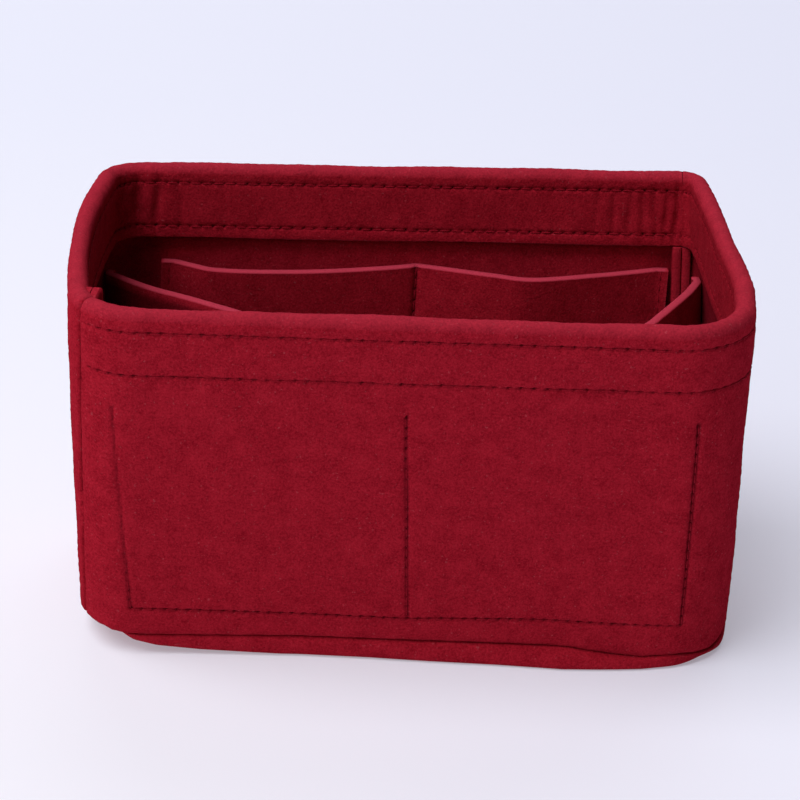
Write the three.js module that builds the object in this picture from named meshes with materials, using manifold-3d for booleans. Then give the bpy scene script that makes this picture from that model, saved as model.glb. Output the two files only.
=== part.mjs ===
import * as THREE from 'three';
import { mergeVertices } from 'three/addons/utils/BufferGeometryUtils.js';
import Module from 'manifold-3d';

// A felt purse organizer insert, open at the top. Two bent wall panels, each with its top
// folded in as a hem, meet at the front left and the back right corner. A base panel is
// turned up to them all round, and four pocket panels are sewn to the walls inside.
// Millimetres, +Z up, the front wall towards -Y, the origin under the middle of the insert.

// Outer sizes. The front and back walls lean out from the base to the rim.
// Lengths and depths are those between straight sides, before their bows are added.
const rimLength = 236.5;
const rimDepth = 151;
const baseLength = 245;
const baseDepth = 102;
const overallHeight = 150;
const rimShift = -2; // puts the middle of the whole insert at the origin
const sway = 3.8; // how far the base stands to the right of the rim
const rimFrontPull = 3; // how far the rim's front left corner is drawn back
const rimBackPull = 8.5; // how far the rim's back left corner is drawn forward
const baseFrontPull = 3; // how far the base's front left corner is drawn back
const leftEndBow = 4; // how far the middle of each end stands out at the rim
const rightEndBow = 2;

// Corner radii in plan, front left, front right, back right and back left
const rimRadii = [25, 29, 10, 17];
const baseRadii = [21, 25, 20, 20];

// Felt, thread and the room between pieces that are sewn together
const feltThickness = 3.4;
const sewnGap = 0.3;
const threadRadius = 0.35;
const threadSides = 4;

// The hem, measured down from the rim
const hemFoldSlit = 0.4;
const hemDrop = 27.6;
const upperRowDrop = 7.2;
const lowerRowDrop = 24.5;
const rowGrooveDepth = 1;
const rowGrooveWidth = 3;
const rowEndClear = 1; // least distance from a row's end to its next point
const outerRowGap = 2; // from the front left seam to the rows' ends, outside
const innerRowStart = 12; // and inside, where the seam's allowances are in the way
const innerRowEnd = 24;

// The base seam, whose allowances lie inside
const baseSeamHeight = 9.3;
const baseAllowance = 7;
const noseRadius = 2;
const baseEdgeRadius = 4.5;
// Rounded edges in shares of their radius, and how the felt turns in beside a corner seam:
// the shares of the nose radius along the wall and inward
const roundEdgeShares = [[1, 0], [0.3, 0.3], [0, 1]];
const seamDipShares = [[0, 1], [0.35, 0.45], [1, 0.06]];

// The corner seams and their allowances
const cornerAllowance = 9.5;
const hemCornerAllowance = 16;
const allowanceRoot = 1.6; // how deep in the wall an allowance starts
const frontSeamRimShare = 0.46; // of the corner's arc, from the left end wall
const frontSeamBaseShare = 0.33;
const backSeamRimShare = 0.95; // of the corner's arc, from the right end wall
const backSeamBaseShare = 0.75;
const frontSeamTurnShare = 0.1; // how far to the right its allowances run as they run inward
const cornerStitchShare = 0.7; // where an allowance is sewn, of its reach

// The pockets. All four panels have their top and their lower seam at the same heights.
const pocketTopDrop = 39;
const pocketSeamHeight = 20.3;
const pocketMargin = 3; // felt outside the seams
const pocketFold = 2; // from a seam to where the panel leaves the wall
// The front and back pockets: how far their side seams are from the ends of the rim and of the
// base, and how far to the right they are moved from the middle of the rim
const frontPocketRimInset = 17;
const frontPocketBaseInset = 21.25;
const frontPocketRimShift = -2.8;
const frontPocketBaseShift = 3.8;
const backPocketRimInset = 21.75;
const backPocketBaseInset = 26;
const backPocketRimShift = 6.7;
const backPocketBaseShift = 2.8;
const widePocketBulge = 12;
const slimPocketBulge = 9;
const leftPocketReach = 69.4;
const rightPocketReach = 43;
// Where each end pocket's side seams are, from the middle of the end wall, at rim and base
const leftRearSeam = [57.5, 24.5];
const leftFrontSeam = [57.5, 25.5];
const rightRearSeam = [53.5, 27.5];
const rightFrontSeam = [63.5, 30.5];

// How far a pocket's top edge stands off its wall, as shares along the pocket and shares of
// its bulge. The end pockets' shares run from the rear seam to the front one.
const slimPocketShares = [[0, 0], [0.09, 0.52], [0.17, 0.87], [0.34, 1], [0.6, 0.85], [0.87, 0.37], [1, 0]];
const widePocketShares = [[0, 0], [0.14, 0.31], [0.32, 0.72], [0.48, 1], [0.73, 0.6], [0.9, 0.25], [1, 0]];
const leftPocketShares = [
	[0, 0], [0.094, 0.159], [0.162, 0.29], [0.222, 0.438], [0.287, 0.585], [0.395, 0.804],
	[0.53, 0.99], [0.67, 0.9], [0.84, 0.46], [0.94, 0.11], [1, 0]
];
const rightPocketShares = [
	[0, 0], [0.1, 0.119], [0.203, 0.267], [0.328, 0.451], [0.411, 0.577], [0.62, 0.97],
	[0.74, 0.93], [0.86, 0.52], [0.94, 0.15], [1, 0]
];
const pocketRowShares = [0, 0.25, 0.5, 0.75, 1];
const sideSeamShares = [1, 0.8, 0.6, 0.4, 0.2]; // heights along a pocket's side seams
const pocketSlackPower = 0.9; // how fast a pocket opens above its lower seam

// How finely curved stretches are divided
const sideSteps = 6;
const endSteps = 6;
const cornerSteps = 8;
const seamCornerSteps = 5;
const rollSteps = 6;
const slimPocketSteps = 9;
const endPocketSteps = 22;
const wallRowShares = [0, 0.25, 0.5, 0.75, 1]; // heights from a pocket's lower seam to its top
const cornerClear = 0.22; // extra room for the pockets' threads where they run onto a corner

// Sizes that follow from those above
const hemThickness = 2 * feltThickness + hemFoldSlit;
const rollRadius = hemThickness / 2;
const hemHeight = overallHeight - hemDrop;
const pocketTopHeight = overallHeight - pocketTopDrop;
const wallFootHeight = baseSeamHeight + sewnGap / 2;
const wallAllowanceTop = wallFootHeight + feltThickness;
const baseTopHeight = baseSeamHeight - sewnGap / 2;
const threadOffset = sewnGap + threadRadius;
const cornerAllowanceFoot = wallAllowanceTop + 2 * threadOffset + sewnGap;

const wasm = await Module();
wasm.setup();

// The outline of the insert in plan, anticlockwise from the front left corner's end:
// front, corner, right end, corner, back, corner, left end, corner.
function makeLoop({ length, depth, radii, leftBow, rightBow, shift, frontPull, backPull }) {
	const [frontLeft, frontRight, backRight, backLeft] = radii;
	const right = length / 2;
	const back = depth / 2;
	const stretches = [
		side([-right + frontLeft, -back], [right - frontRight, -back], 0),
		corner([right - frontRight, -back + frontRight], frontRight, -Math.PI / 2),
		side([right, -back + frontRight], [right, back - backRight], rightBow),
		corner([right - backRight, back - backRight], backRight, 0),
		side([right - backRight, back], [-right + backLeft, back], 0),
		corner([-right + backLeft, back - backLeft], backLeft, Math.PI / 2),
		side([-right, back - backLeft], [-right, -back + frontLeft], leftBow),
		corner([-right + frontLeft, -back + frontLeft], frontLeft, Math.PI)
	];
	const starts = [0];
	stretches.forEach((stretch, i) => starts.push(starts[i] + stretch.length));
	const around = starts[stretches.length];
	return { length, depth, shift, frontPull, backPull, stretches, starts, around };
}

function side(from, to, bow) {
	const start = new THREE.Vector2(...from);
	const end = new THREE.Vector2(...to);
	const heading = end.clone().sub(start).normalize();
	const outward = new THREE.Vector2(heading.y, -heading.x);
	return {
		length: start.distanceTo(end),
		at: (share) => ({
			point: start.clone().lerp(end, share).addScaledVector(outward, 4 * bow * share * (1 - share)),
			heading: heading.clone()
		})
	};
}

function corner(centre, radius, startAngle) {
	return {
		length: radius * Math.PI / 2,
		at: (share) => {
			const angle = startAngle + share * Math.PI / 2;
			const outward = new THREE.Vector2(Math.cos(angle), Math.sin(angle));
			return {
				point: outward.clone().multiplyScalar(radius).add(new THREE.Vector2(...centre)),
				heading: new THREE.Vector2(-outward.y, outward.x)
			};
		}
	};
}

// How far along a loop the given share of one of its stretches lies
function distanceAt(loop, stretch, share) {
	return loop.starts[stretch] + share * loop.stretches[stretch].length;
}

function loopAt(loop, distance) {
	const along = THREE.MathUtils.euclideanModulo(distance, loop.around);
	let index = loop.stretches.findIndex((stretch, i) => along < loop.starts[i + 1]);
	if (index < 0) {
		index = loop.stretches.length - 1;
	}
	const stretch = loop.stretches[index];
	const { point, heading } = stretch.at((along - loop.starts[index]) / stretch.length);
	const leftShare = 0.5 - point.x / loop.length;
	const sideShare = 2 * point.y / loop.depth;
	const pull = point.y > 0 ? loop.backPull : loop.frontPull;
	point.y -= pull * leftShare * sideShare;
	point.x += loop.shift;
	return { point, heading };
}

const rim = makeLoop({
	length: rimLength, depth: rimDepth, radii: rimRadii, shift: rimShift,
	leftBow: leftEndBow, rightBow: rightEndBow, frontPull: rimFrontPull, backPull: rimBackPull
});
const base = makeLoop({
	length: baseLength, depth: baseDepth, radii: baseRadii, shift: rimShift + sway,
	leftBow: 0, rightBow: 0, frontPull: baseFrontPull, backPull: 0
});

// A station is one place along the walls: its distance along the rim and along the base.
function station(stretch, rimShare, baseShare = rimShare) {
	return { rim: distanceAt(rim, stretch, rimShare), base: distanceAt(base, stretch, baseShare) };
}

function shifted(place, distance) {
	return { rim: place.rim + distance, base: place.base + distance };
}

function between(start, end, share) {
	return {
		rim: THREE.MathUtils.lerp(start.rim, end.rim, share),
		base: THREE.MathUtils.lerp(start.base, end.base, share)
	};
}

// The outer face of the walls at a station and height, with the level direction inward
function wallFrame(place, height) {
	const share = (height - baseSeamHeight) / (overallHeight - baseSeamHeight);
	const low = loopAt(base, place.base);
	const high = loopAt(rim, place.rim);
	const point = low.point.lerp(high.point, share);
	const heading = low.heading.lerp(high.heading, share).normalize();
	return { point, heading, inward: new THREE.Vector2(-heading.y, heading.x) };
}

function wallPoint(place, depth, height) {
	const { point, inward } = wallFrame(place, height);
	return new THREE.Vector3(point.x + inward.x * depth, point.y + inward.y * depth, height);
}

// A closed mesh from points and triangles, turned so that its faces point out
function closedMesh(points, triangles) {
	let volume = 0;
	for (let i = 0; i < triangles.length; i += 3) {
		const [a, b, c] = [points[triangles[i]], points[triangles[i + 1]], points[triangles[i + 2]]];
		volume += a.dot(new THREE.Vector3().crossVectors(b, c));
	}
	const geometry = new THREE.BufferGeometry().setFromPoints(points);
	geometry.setIndex(volume < 0 ? [...triangles].reverse() : triangles);
	return geometry;
}

// A section carried through rings of points: closed on itself, or open with flat ends
function loft(rings, outline) {
	const sides = rings[0].length;
	const points = rings.flat();
	const triangles = [];
	const spans = outline ? rings.length - 1 : rings.length;
	for (let i = 0; i < spans; i++) {
		const here = i * sides;
		const next = ((i + 1) % rings.length) * sides;
		for (let j = 0; j < sides; j++) {
			const k = (j + 1) % sides;
			triangles.push(here + j, next + j, next + k, here + j, next + k, here + k);
		}
	}
	if (outline) {
		const last = (rings.length - 1) * sides;
		const order = outline.map((p, i) => i);
		if (THREE.ShapeUtils.isClockWise(outline)) {
			order.reverse();
		}
		const faces = THREE.ShapeUtils.triangulateShape(order.map((i) => outline[i]), []);
		for (const face of faces) {
			const [a, b, c] = face.map((i) => order[i]);
			triangles.push(a, b, c, last + a, last + c, last + b);
		}
	}
	return orientEnds(points, triangles);
}

// The flat ends of an open loft have to turn the same way as its sides.
function orientEnds(points, triangles) {
	const edges = new Set();
	const fixed = [];
	for (let i = 0; i < triangles.length; i += 3) {
		let [a, b, c] = triangles.slice(i, i + 3);
		if ([[a, b], [b, c], [c, a]].some(([p, q]) => edges.has(p + '>' + q))) {
			[b, c] = [c, b];
		}
		[[a, b], [b, c], [c, a]].forEach(([p, q]) => edges.add(p + '>' + q));
		fixed.push(a, b, c);
	}
	return closedMesh(points, fixed);
}

// A thin tube along points, each with the direction that it is held off its surface by
function threadAlong(places, closed) {
	const rings = places.map(({ point, outward }, i) => {
		const [before, after] = [i - 1, i + 1].map((j) => closed
			? THREE.MathUtils.euclideanModulo(j, places.length)
			: THREE.MathUtils.clamp(j, 0, places.length - 1));
		const heading = places[after].point.clone().sub(places[before].point).normalize();
		const across = new THREE.Vector3().crossVectors(heading, outward).normalize();
		const up = new THREE.Vector3().crossVectors(across, heading).normalize();
		return unitSection().map((corner) => point.clone()
			.addScaledVector(across, threadRadius * corner.x)
			.addScaledVector(up, threadRadius * corner.y));
	});
	return loft(rings, closed ? null : unitSection());
}

function unitSection() {
	return Array.from({ length: threadSides }, (unused, i) => {
		const angle = (i + 0.5) / threadSides * 2 * Math.PI;
		return new THREE.Vector2(Math.cos(angle), Math.sin(angle));
	});
}

function toSolid(geometry) {
	const merged = mergeVertices(geometry);
	return new wasm.Manifold(new wasm.Mesh({
		numProp: 3,
		vertProperties: merged.attributes.position.array,
		triVerts: new Uint32Array(merged.index.array)
	}));
}

function toGeometry(solid) {
	const mesh = solid.getMesh();
	const geometry = new THREE.BufferGeometry();
	geometry.setAttribute('position', new THREE.BufferAttribute(mesh.vertProperties, 3));
	geometry.setIndex(new THREE.BufferAttribute(mesh.triVerts, 1));
	return geometry;
}

// A row of stitches draws the felt in to a groove.
function groove(depth, height, sign) {
	const half = rowGrooveWidth / 2;
	return [
		[depth, height - half], [depth + sign * rowGrooveDepth, height], [depth, height + half]
	];
}

// Points round an edge as depths from the side and heights from the end
function roundEdge(radius) {
	return roundEdgeShares.map(([depth, height]) => [radius * depth, radius * height]);
}

// The wall's section as depths from the outer face and heights: up the outside, over the
// rolled rim, down the folded hem, up the slit behind it and down the inside of the wall
function wallSection() {
	const upperRow = overallHeight - upperRowDrop;
	const lowerRow = overallHeight - lowerRowDrop;
	const rollHeight = overallHeight - rollRadius;
	const roll = Array.from({ length: rollSteps + 1 }, (unused, i) => {
		const angle = Math.PI * (1 - i / rollSteps);
		return [rollRadius * (1 + Math.cos(angle)), rollHeight + rollRadius * Math.sin(angle)];
	});
	const foot = roundEdge(noseRadius).map(([depth, rise]) => [depth, wallFootHeight + rise]);
	const rows = wallRowShares.map((share) => [0, THREE.MathUtils.lerp(pocketSeamHeight, pocketTopHeight, share)]);
	const outside = [
		...foot, ...rows,
		...groove(0, lowerRow, 1), ...groove(0, upperRow, 1), ...roll
	];
	const inside = [
		...groove(hemThickness, upperRow, -1).reverse(), ...groove(hemThickness, lowerRow, -1).reverse(),
		[hemThickness, hemHeight], [hemThickness - feltThickness, hemHeight],
		[hemThickness - feltThickness, rollHeight], [feltThickness, rollHeight],
		[feltThickness, pocketTopHeight], [feltThickness, wallAllowanceTop],
		[baseAllowance, wallAllowanceTop], [baseAllowance, wallFootHeight]
	];
	return { outside, inside };
}

// Places along one wall panel, from seam to seam. Close to a seam the felt turns in, so the
// outer face dips there.
function panelPlaces(startSeam, endSeam, middle) {
	const start = shifted(startSeam, sewnGap / 2);
	const end = shifted(endSeam, -sewnGap / 2);
	const dipped = (seam, sign) => seamDipShares.map(([along, inward]) => ({
		place: shifted(seam, sign * noseRadius * along), dip: noseRadius * inward
	}));
	return [
		...dipped(start, 1), ...middle.map((place) => ({ place, dip: 0 })), ...dipped(end, -1).reverse()
	];
}

function wallPanel(places) {
	const { outside, inside } = wallSection();
	const outline = [...outside, ...inside].map(([depth, height]) => new THREE.Vector2(depth, height));
	const rings = places.map(({ place, dip }) => [
		...outside.map(([depth, height]) => {
			const fade = 1 - depth / hemThickness;
			const drop = height > overallHeight - rollRadius ? dip / 2 : 0;
			return wallPoint(place, depth + dip * fade, height - drop);
		}),
		...inside.map(([depth, height]) => wallPoint(place, depth, height))
	]);
	return loft(rings, outline);
}

const frontSeam = station(7, frontSeamRimShare, frontSeamBaseShare);
const backSeam = station(3, backSeamRimShare, backSeamBaseShare);

function spread(stretch, steps, startRim = 0, startBase = 0, endRim = 1, endBase = 1) {
	return Array.from({ length: steps }, (unused, i) => {
		const share = (i + 0.5) / steps;
		return station(stretch, THREE.MathUtils.lerp(startRim, endRim, share),
			THREE.MathUtils.lerp(startBase, endBase, share));
	});
}

// Stretches that need both of their ends kept, so that the straight walls stay straight
function run(stretch, steps) {
	return Array.from({ length: steps + 1 }, (unused, i) => station(stretch, i / steps));
}

function frontPanelPlaces() {
	const middle = [
		...spread(7, seamCornerSteps, frontSeamRimShare, frontSeamBaseShare).slice(1).map(wrapped),
		...run(0, sideSteps), ...spread(1, cornerSteps), ...run(2, endSteps),
		...spread(3, cornerSteps, 0, 0, backSeamRimShare, backSeamBaseShare).slice(0, -1)
	];
	return panelPlaces(wrapped(frontSeam), backSeam, middle);
}

function backPanelPlaces() {
	const afterSeam = shifted(backSeam, 2 * noseRadius);
	const cornerEnd = { rim: backSeam.rim + baseAllowance, base: distanceAt(base, 4, 0) + noseRadius / 2 };
	const middle = [
		afterSeam, between(afterSeam, cornerEnd, 0.5), cornerEnd,
		...run(4, sideSteps).slice(1), ...spread(5, cornerSteps), ...run(6, endSteps),
		...spread(7, seamCornerSteps, 0, 0, frontSeamRimShare, frontSeamBaseShare).slice(0, -1)
	];
	return panelPlaces(backSeam, frontSeam, middle);
}

// The front panel starts before the loop's starting point, at distances below zero.
function wrapped(place) {
	return { rim: place.rim - rim.around, base: place.base - base.around };
}

// One seam allowance at a corner: felt that points inward beside the seam's plane. The
// side is 1 for the panel that leaves the seam anticlockwise and -1 for the other.
function cornerAllowancePiece(seam, direction, sideSign, levels, grow) {
	const rings = levels.map(({ height, reach, thickness }) => {
		const { point, inward } = wallFrame(seam, height);
		const root = point.clone().addScaledVector(inward, allowanceRoot - grow);
		const tip = root.clone().addScaledVector(direction, reach + 2 * grow);
		const aside = new THREE.Vector2(direction.y, -direction.x).multiplyScalar(sideSign);
		const near = sewnGap / 2 - grow;
		const far = sewnGap / 2 + thickness + grow;
		const ownWall = wallPoint(shifted(seam, sideSign * far), allowanceRoot - grow, height);
		return [
			root.clone().addScaledVector(aside, near), tip.clone().addScaledVector(aside, near),
			tip.clone().addScaledVector(aside, far), ownWall
		].map((p) => new THREE.Vector3(p.x, p.y, height));
	});
	return loft(rings, unitSection());
}

// Heights at which an allowance is described; with a hem it widens to the folded felt.
function allowanceLevels(hemmed, hemLayers, grow) {
	const foot = { height: cornerAllowanceFoot - grow, reach: cornerAllowance, thickness: feltThickness };
	const middle = { ...foot, height: pocketTopHeight };
	if (!hemmed) {
		return [foot, middle, { ...foot, height: hemHeight - sewnGap + grow }];
	}
	const narrow = { ...foot, height: hemHeight - feltThickness };
	const wide = { height: hemHeight + grow, reach: hemCornerAllowance, thickness: hemLayers };
	return [foot, middle, narrow, wide, { ...wide, height: overallHeight - rollRadius / 2 + grow }];
}

const frontSeamDirection = new THREE.Vector2(frontSeamTurnShare, 1).normalize();
const backSeamDirection = new THREE.Vector2(0, -1);

function frontAllowance(sideSign, grow) {
	const levels = allowanceLevels(true, sideSign > 0 ? hemThickness : feltThickness, grow);
	return cornerAllowancePiece(frontSeam, frontSeamDirection, sideSign, levels, grow);
}

function backAllowance(sideSign, grow) {
	return cornerAllowancePiece(backSeam, backSeamDirection, sideSign, allowanceLevels(false, 0, grow), grow);
}

function frontAndRightWall() {
	return toGeometry(toSolid(wallPanel(frontPanelPlaces()))
		.subtract(toSolid(backAllowance(1, sewnGap)))
		.add(toSolid(frontAllowance(1, 0)))
		.add(toSolid(backAllowance(-1, 0))));
}

function backAndLeftWall() {
	return toGeometry(toSolid(wallPanel(backPanelPlaces()))
		.add(toSolid(backAllowance(1, 0)))
		.add(toSolid(frontAllowance(-1, 0)))
		.subtract(toSolid(frontAllowance(1, sewnGap))));
}

// The base panel: flat, turned up round its edge, with its allowance turned in at the top
function basePanel() {
	const upperEdge = roundEdge(noseRadius).map(([depth, drop]) => [depth, baseTopHeight - drop]);
	const section = [
		...roundEdge(baseEdgeRadius), ...upperEdge.reverse(),
		[baseAllowance, baseTopHeight], [baseAllowance, baseTopHeight - feltThickness],
		[feltThickness, baseTopHeight - feltThickness], [feltThickness, feltThickness]
	];
	const places = ringPlaces();
	const sides = places.length;
	const points = section.flatMap(([depth, height]) => (
		places.map((place) => basePoint(place, depth, height))));
	const triangles = [];
	for (let j = 0; j < section.length - 1; j++) {
		for (let i = 0; i < sides; i++) {
			const k = (i + 1) % sides;
			const [here, next] = [j * sides, (j + 1) * sides];
			triangles.push(here + i, here + k, next + k, here + i, next + k, next + i);
		}
	}
	const last = (section.length - 1) * sides;
	const under = points.length;
	points.push(new THREE.Vector3(base.shift, 0, 0), new THREE.Vector3(base.shift, 0, feltThickness));
	for (let i = 0; i < sides; i++) {
		const k = (i + 1) % sides;
		triangles.push(under, k, i, under + 1, last + i, last + k);
	}
	return closedMesh(points, triangles);
}

function basePoint(place, depth, height) {
	const { point, heading } = loopAt(base, place.base);
	return new THREE.Vector3(point.x - heading.y * depth, point.y + heading.x * depth, height);
}

function ringPlaces() {
	return [
		...run(0, sideSteps), ...spread(1, cornerSteps), ...run(2, endSteps), ...spread(3, cornerSteps),
		...run(4, sideSteps), ...spread(5, cornerSteps), ...run(6, endSteps), ...spread(7, cornerSteps)
	];
}

// A hem row runs round the walls from the front left seam back to it, at one height. The
// row starts and ends the given distances from the seam.
function hemThread(depth, height, outwardSign, startGap, endGap) {
	const start = shifted(wrapped(frontSeam), startGap);
	const end = shifted(frontSeam, -endGap);
	const inside = [...frontPanelPlaces(), ...backPanelPlaces()].map(({ place }) => place)
		.filter((place) => place.rim > start.rim + rowEndClear && place.rim < end.rim - rowEndClear);
	return threadAlong([start, ...inside, end].map((place) => {
		const { inward } = wallFrame(place, height);
		return {
			point: wallPoint(place, depth, height),
			outward: new THREE.Vector3(-inward.x * outwardSign, -inward.y * outwardSign, 0)
		};
	}), false);
}

function baseSeamThread(height, upSign) {
	const depth = (noseRadius + baseAllowance) / 2;
	return threadAlong(ringPlaces().map((place) => ({
		point: basePoint(place, depth, height), outward: new THREE.Vector3(0, 0, upSign)
	})), true);
}

// Where a pocket is sewn: the stations of its two side seams and its direction inward
const frontPocket = { start: frontStation(-1), end: frontStation(1), inward: new THREE.Vector3(0, 1, 0) };
const backPocket = { start: backStation(-1), end: backStation(1), inward: new THREE.Vector3(0, -1, 0) };
const leftPocket = {
	start: endStation(6, leftRearSeam, -1), end: endStation(6, leftFrontSeam, 1),
	inward: new THREE.Vector3(1, 0, 0)
};
const rightPocket = {
	start: endStation(2, rightRearSeam, 1), end: endStation(2, rightFrontSeam, -1),
	inward: new THREE.Vector3(-1, 0, 0)
};

// A side seam of the front pocket, at its left or right, where the side is -1 or 1
function frontStation(side) {
	const rimStart = loopAt(rim, distanceAt(rim, 0, 0)).point.x - rimShift;
	const baseStart = loopAt(base, distanceAt(base, 0, 0)).point.x - rimShift;
	return {
		rim: side * (rimLength / 2 - frontPocketRimInset) + frontPocketRimShift - rimStart,
		base: side * (baseLength / 2 - frontPocketBaseInset) + frontPocketBaseShift - baseStart
	};
}

function backStation(side) {
	const rimStart = loopAt(rim, distanceAt(rim, 4, 0)).point.x - rimShift;
	const baseStart = loopAt(base, distanceAt(base, 4, 0)).point.x - rimShift;
	const rimPlace = side * (rimLength / 2 - backPocketRimInset) + backPocketRimShift;
	const basePlace = side * (baseLength / 2 - backPocketBaseInset) + backPocketBaseShift;
	return {
		rim: distanceAt(rim, 4, 0) + rimStart - rimPlace,
		base: distanceAt(base, 4, 0) + baseStart - basePlace
	};
}

function endStation(stretch, seam, sign) {
	return {
		rim: distanceAt(rim, stretch, 0.5) + sign * seam[0],
		base: distanceAt(base, stretch, 0.5) + sign * seam[1]
	};
}

const pocketDepth = feltThickness + sewnGap + feltThickness / 2;

function pocketSpan(pocket) {
	return Math.abs(pocket.end.rim - pocket.start.rim);
}

// A pocket panel: flat on the wall outside its seams, and standing off it between them
function pocketPanel(pocket, profile) {
	const span = pocketSpan(pocket);
	const margin = pocketMargin / span;
	const fold = pocketFold / span;
	const stations = [
		[-margin, 0], [0, 0], ...profile.map(([along, reach]) => [fold + along * (1 - 2 * fold), reach]),
		[1, 0], [1 + margin, 0]
	];
	const openHeight = pocketSeamHeight + pocketFold;
	const heights = [pocketSeamHeight - pocketMargin, pocketSeamHeight, ...pocketRowShares.map(
		(share) => THREE.MathUtils.lerp(openHeight, pocketTopHeight, share))];
	const rows = heights.map((height) => {
		const share = Math.max(0, (height - openHeight) / (pocketTopHeight - openHeight));
		const slack = share ** pocketSlackPower;
		const line = stations.map(([along, reach]) => (
			wallPoint(between(pocket.start, pocket.end, along), pocketDepth, height)
				.addScaledVector(pocket.inward, reach * slack)));
		return thickened(line);
	});
	return slab(rows);
}

// The two faces of felt whose middle follows a level line of points
function thickened(line) {
	return line.map((point, i) => {
		const before = line[Math.max(i - 1, 0)];
		const after = line[Math.min(i + 1, line.length - 1)];
		const heading = after.clone().sub(before).setZ(0).normalize();
		const across = new THREE.Vector3(-heading.y, heading.x, 0).multiplyScalar(feltThickness / 2);
		return { near: point.clone().sub(across), far: point.clone().add(across) };
	});
}

// A sheet of felt from rows of near and far points
function slab(rows) {
	const rings = rows[0].map((first, i) => [
		...rows.map((row) => row[i].near), ...rows.map((row) => row[i].far).reverse()
	]);
	const outline = [
		...rows.map((row, i) => new THREE.Vector2(0, i)),
		...rows.map((row, i) => new THREE.Vector2(1, i)).reverse()
	];
	return loft(rings, outline);
}

// Stations along a pocket as shares along it and millimetres that it stands off the wall
function profilePoints(shares, reach, steps, span) {
	const points = shares.map(([along, out]) => new THREE.Vector2(along * span, out * reach));
	const curve = new THREE.SplineCurve(points);
	return curve.getSpacedPoints(steps).map((p) => [p.x / span, Math.max(0, p.y)]);
}

function twinProfile(first, firstBulge, second, secondBulge, span) {
	const left = profilePoints(first, firstBulge, slimPocketSteps, span / 2);
	const right = profilePoints(second, secondBulge, slimPocketSteps, span / 2);
	return [
		...left.map(([along, out]) => [along / 2, out]),
		...right.slice(1).map(([along, out]) => [(1 + along) / 2, out])
	];
}

function turnedRound(shares) {
	return shares.map(([along, out]) => [1 - along, out]).reverse();
}

function frontPocketPanel() {
	return pocketPanel(frontPocket, twinProfile(turnedRound(widePocketShares), slimPocketBulge,
		turnedRound(slimPocketShares), slimPocketBulge, pocketSpan(frontPocket)));
}

function backPocketPanel() {
	return pocketPanel(backPocket, twinProfile(slimPocketShares, slimPocketBulge,
		widePocketShares, widePocketBulge, pocketSpan(backPocket)));
}

function endPocketPanel(pocket, shares, reach) {
	return pocketPanel(pocket, profilePoints(shares, reach, endPocketSteps, pocketSpan(pocket)));
}

// The thread round a pocket's two sides and bottom, on the wall or on the panel
function pocketBorderThread(pocket, depth, outwardSign) {
	const along = Array.from({ length: sideSteps + 1 }, (unused, i) => i / sideSteps);
	const places = [
		...sideSeamShares.map((share) => [0, share]), ...along.map((share) => [share, 0]),
		...sideSeamShares.map((share) => [1, share]).reverse()
	].map(([across, up]) => pocketThreadPlace(pocket, across, up, depth, outwardSign));
	return threadAlong(places, false);
}

function pocketThreadPlace(pocket, across, up, depth, outwardSign) {
	const height = THREE.MathUtils.lerp(pocketSeamHeight, pocketTopHeight, up);
	const place = between(pocket.start, pocket.end, across);
	const { inward } = wallFrame(place, height);
	return {
		point: wallPoint(place, depth, height),
		outward: new THREE.Vector3(-inward.x * outwardSign, -inward.y * outwardSign, 0)
	};
}

function pocketDividerThread(pocket, depth, outwardSign) {
	const clear = 2 * threadOffset / (pocketTopHeight - pocketSeamHeight);
	const places = [...sideSeamShares, clear]
		.map((up) => pocketThreadPlace(pocket, 0.5, up, depth, outwardSign));
	return threadAlong(places, false);
}

// The thread that closes a corner, on one face of the two allowances
function cornerThread(seam, direction, sideSign, levels) {
	const aside = new THREE.Vector2(direction.y, -direction.x).multiplyScalar(sideSign);
	const places = levels.map(({ height, reach, thickness }) => {
		const { point, inward } = wallFrame(seam, height);
		const spot = point.clone().addScaledVector(inward, allowanceRoot)
			.addScaledVector(direction, reach * cornerStitchShare)
			.addScaledVector(aside, sewnGap / 2 + thickness + threadOffset);
		return {
			point: new THREE.Vector3(spot.x, spot.y, height),
			outward: new THREE.Vector3(aside.x, aside.y, 0)
		};
	});
	return threadAlong(places, false);
}

function redFelt() {
	return new THREE.MeshStandardMaterial({ color: 0xa31226, roughness: 0.95, metalness: 0 });
}

function redThread() {
	return new THREE.MeshStandardMaterial({ color: 0x6d0a18, roughness: 0.7, metalness: 0 });
}

const insert = new THREE.Group();

function addFelt(name, geometry) {
	addPiece(name, geometry, redFelt());
}

function addThread(name, geometry) {
	addPiece(name, geometry, redThread());
}

function addPiece(name, geometry, material) {
	const mesh = new THREE.Mesh(geometry, material);
	mesh.name = name;
	insert.add(mesh);
}

const onWall = -threadOffset - cornerClear;
const inGroove = rowGrooveDepth - threadOffset;
const onHem = hemThickness - rowGrooveDepth + threadOffset;
const onPanel = pocketDepth + feltThickness / 2 + threadOffset;

addFelt('front_and_right_wall', frontAndRightWall());
addFelt('back_and_left_wall', backAndLeftWall());
addFelt('base_panel', basePanel());
addFelt('front_pocket_panel', frontPocketPanel());
addFelt('back_pocket_panel', backPocketPanel());
addFelt('left_pocket_panel', endPocketPanel(leftPocket, leftPocketShares, leftPocketReach));
addFelt('right_pocket_panel', endPocketPanel(rightPocket, rightPocketShares, rightPocketReach));

for (const [row, drop] of Object.entries({ upper: upperRowDrop, lower: lowerRowDrop })) {
	const height = overallHeight - drop;
	addThread('hem_' + row + '_needle_thread', hemThread(inGroove, height, 1, outerRowGap, outerRowGap));
	addThread('hem_' + row + '_bobbin_thread', hemThread(onHem, height, -1, innerRowStart, innerRowEnd));
}

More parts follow.
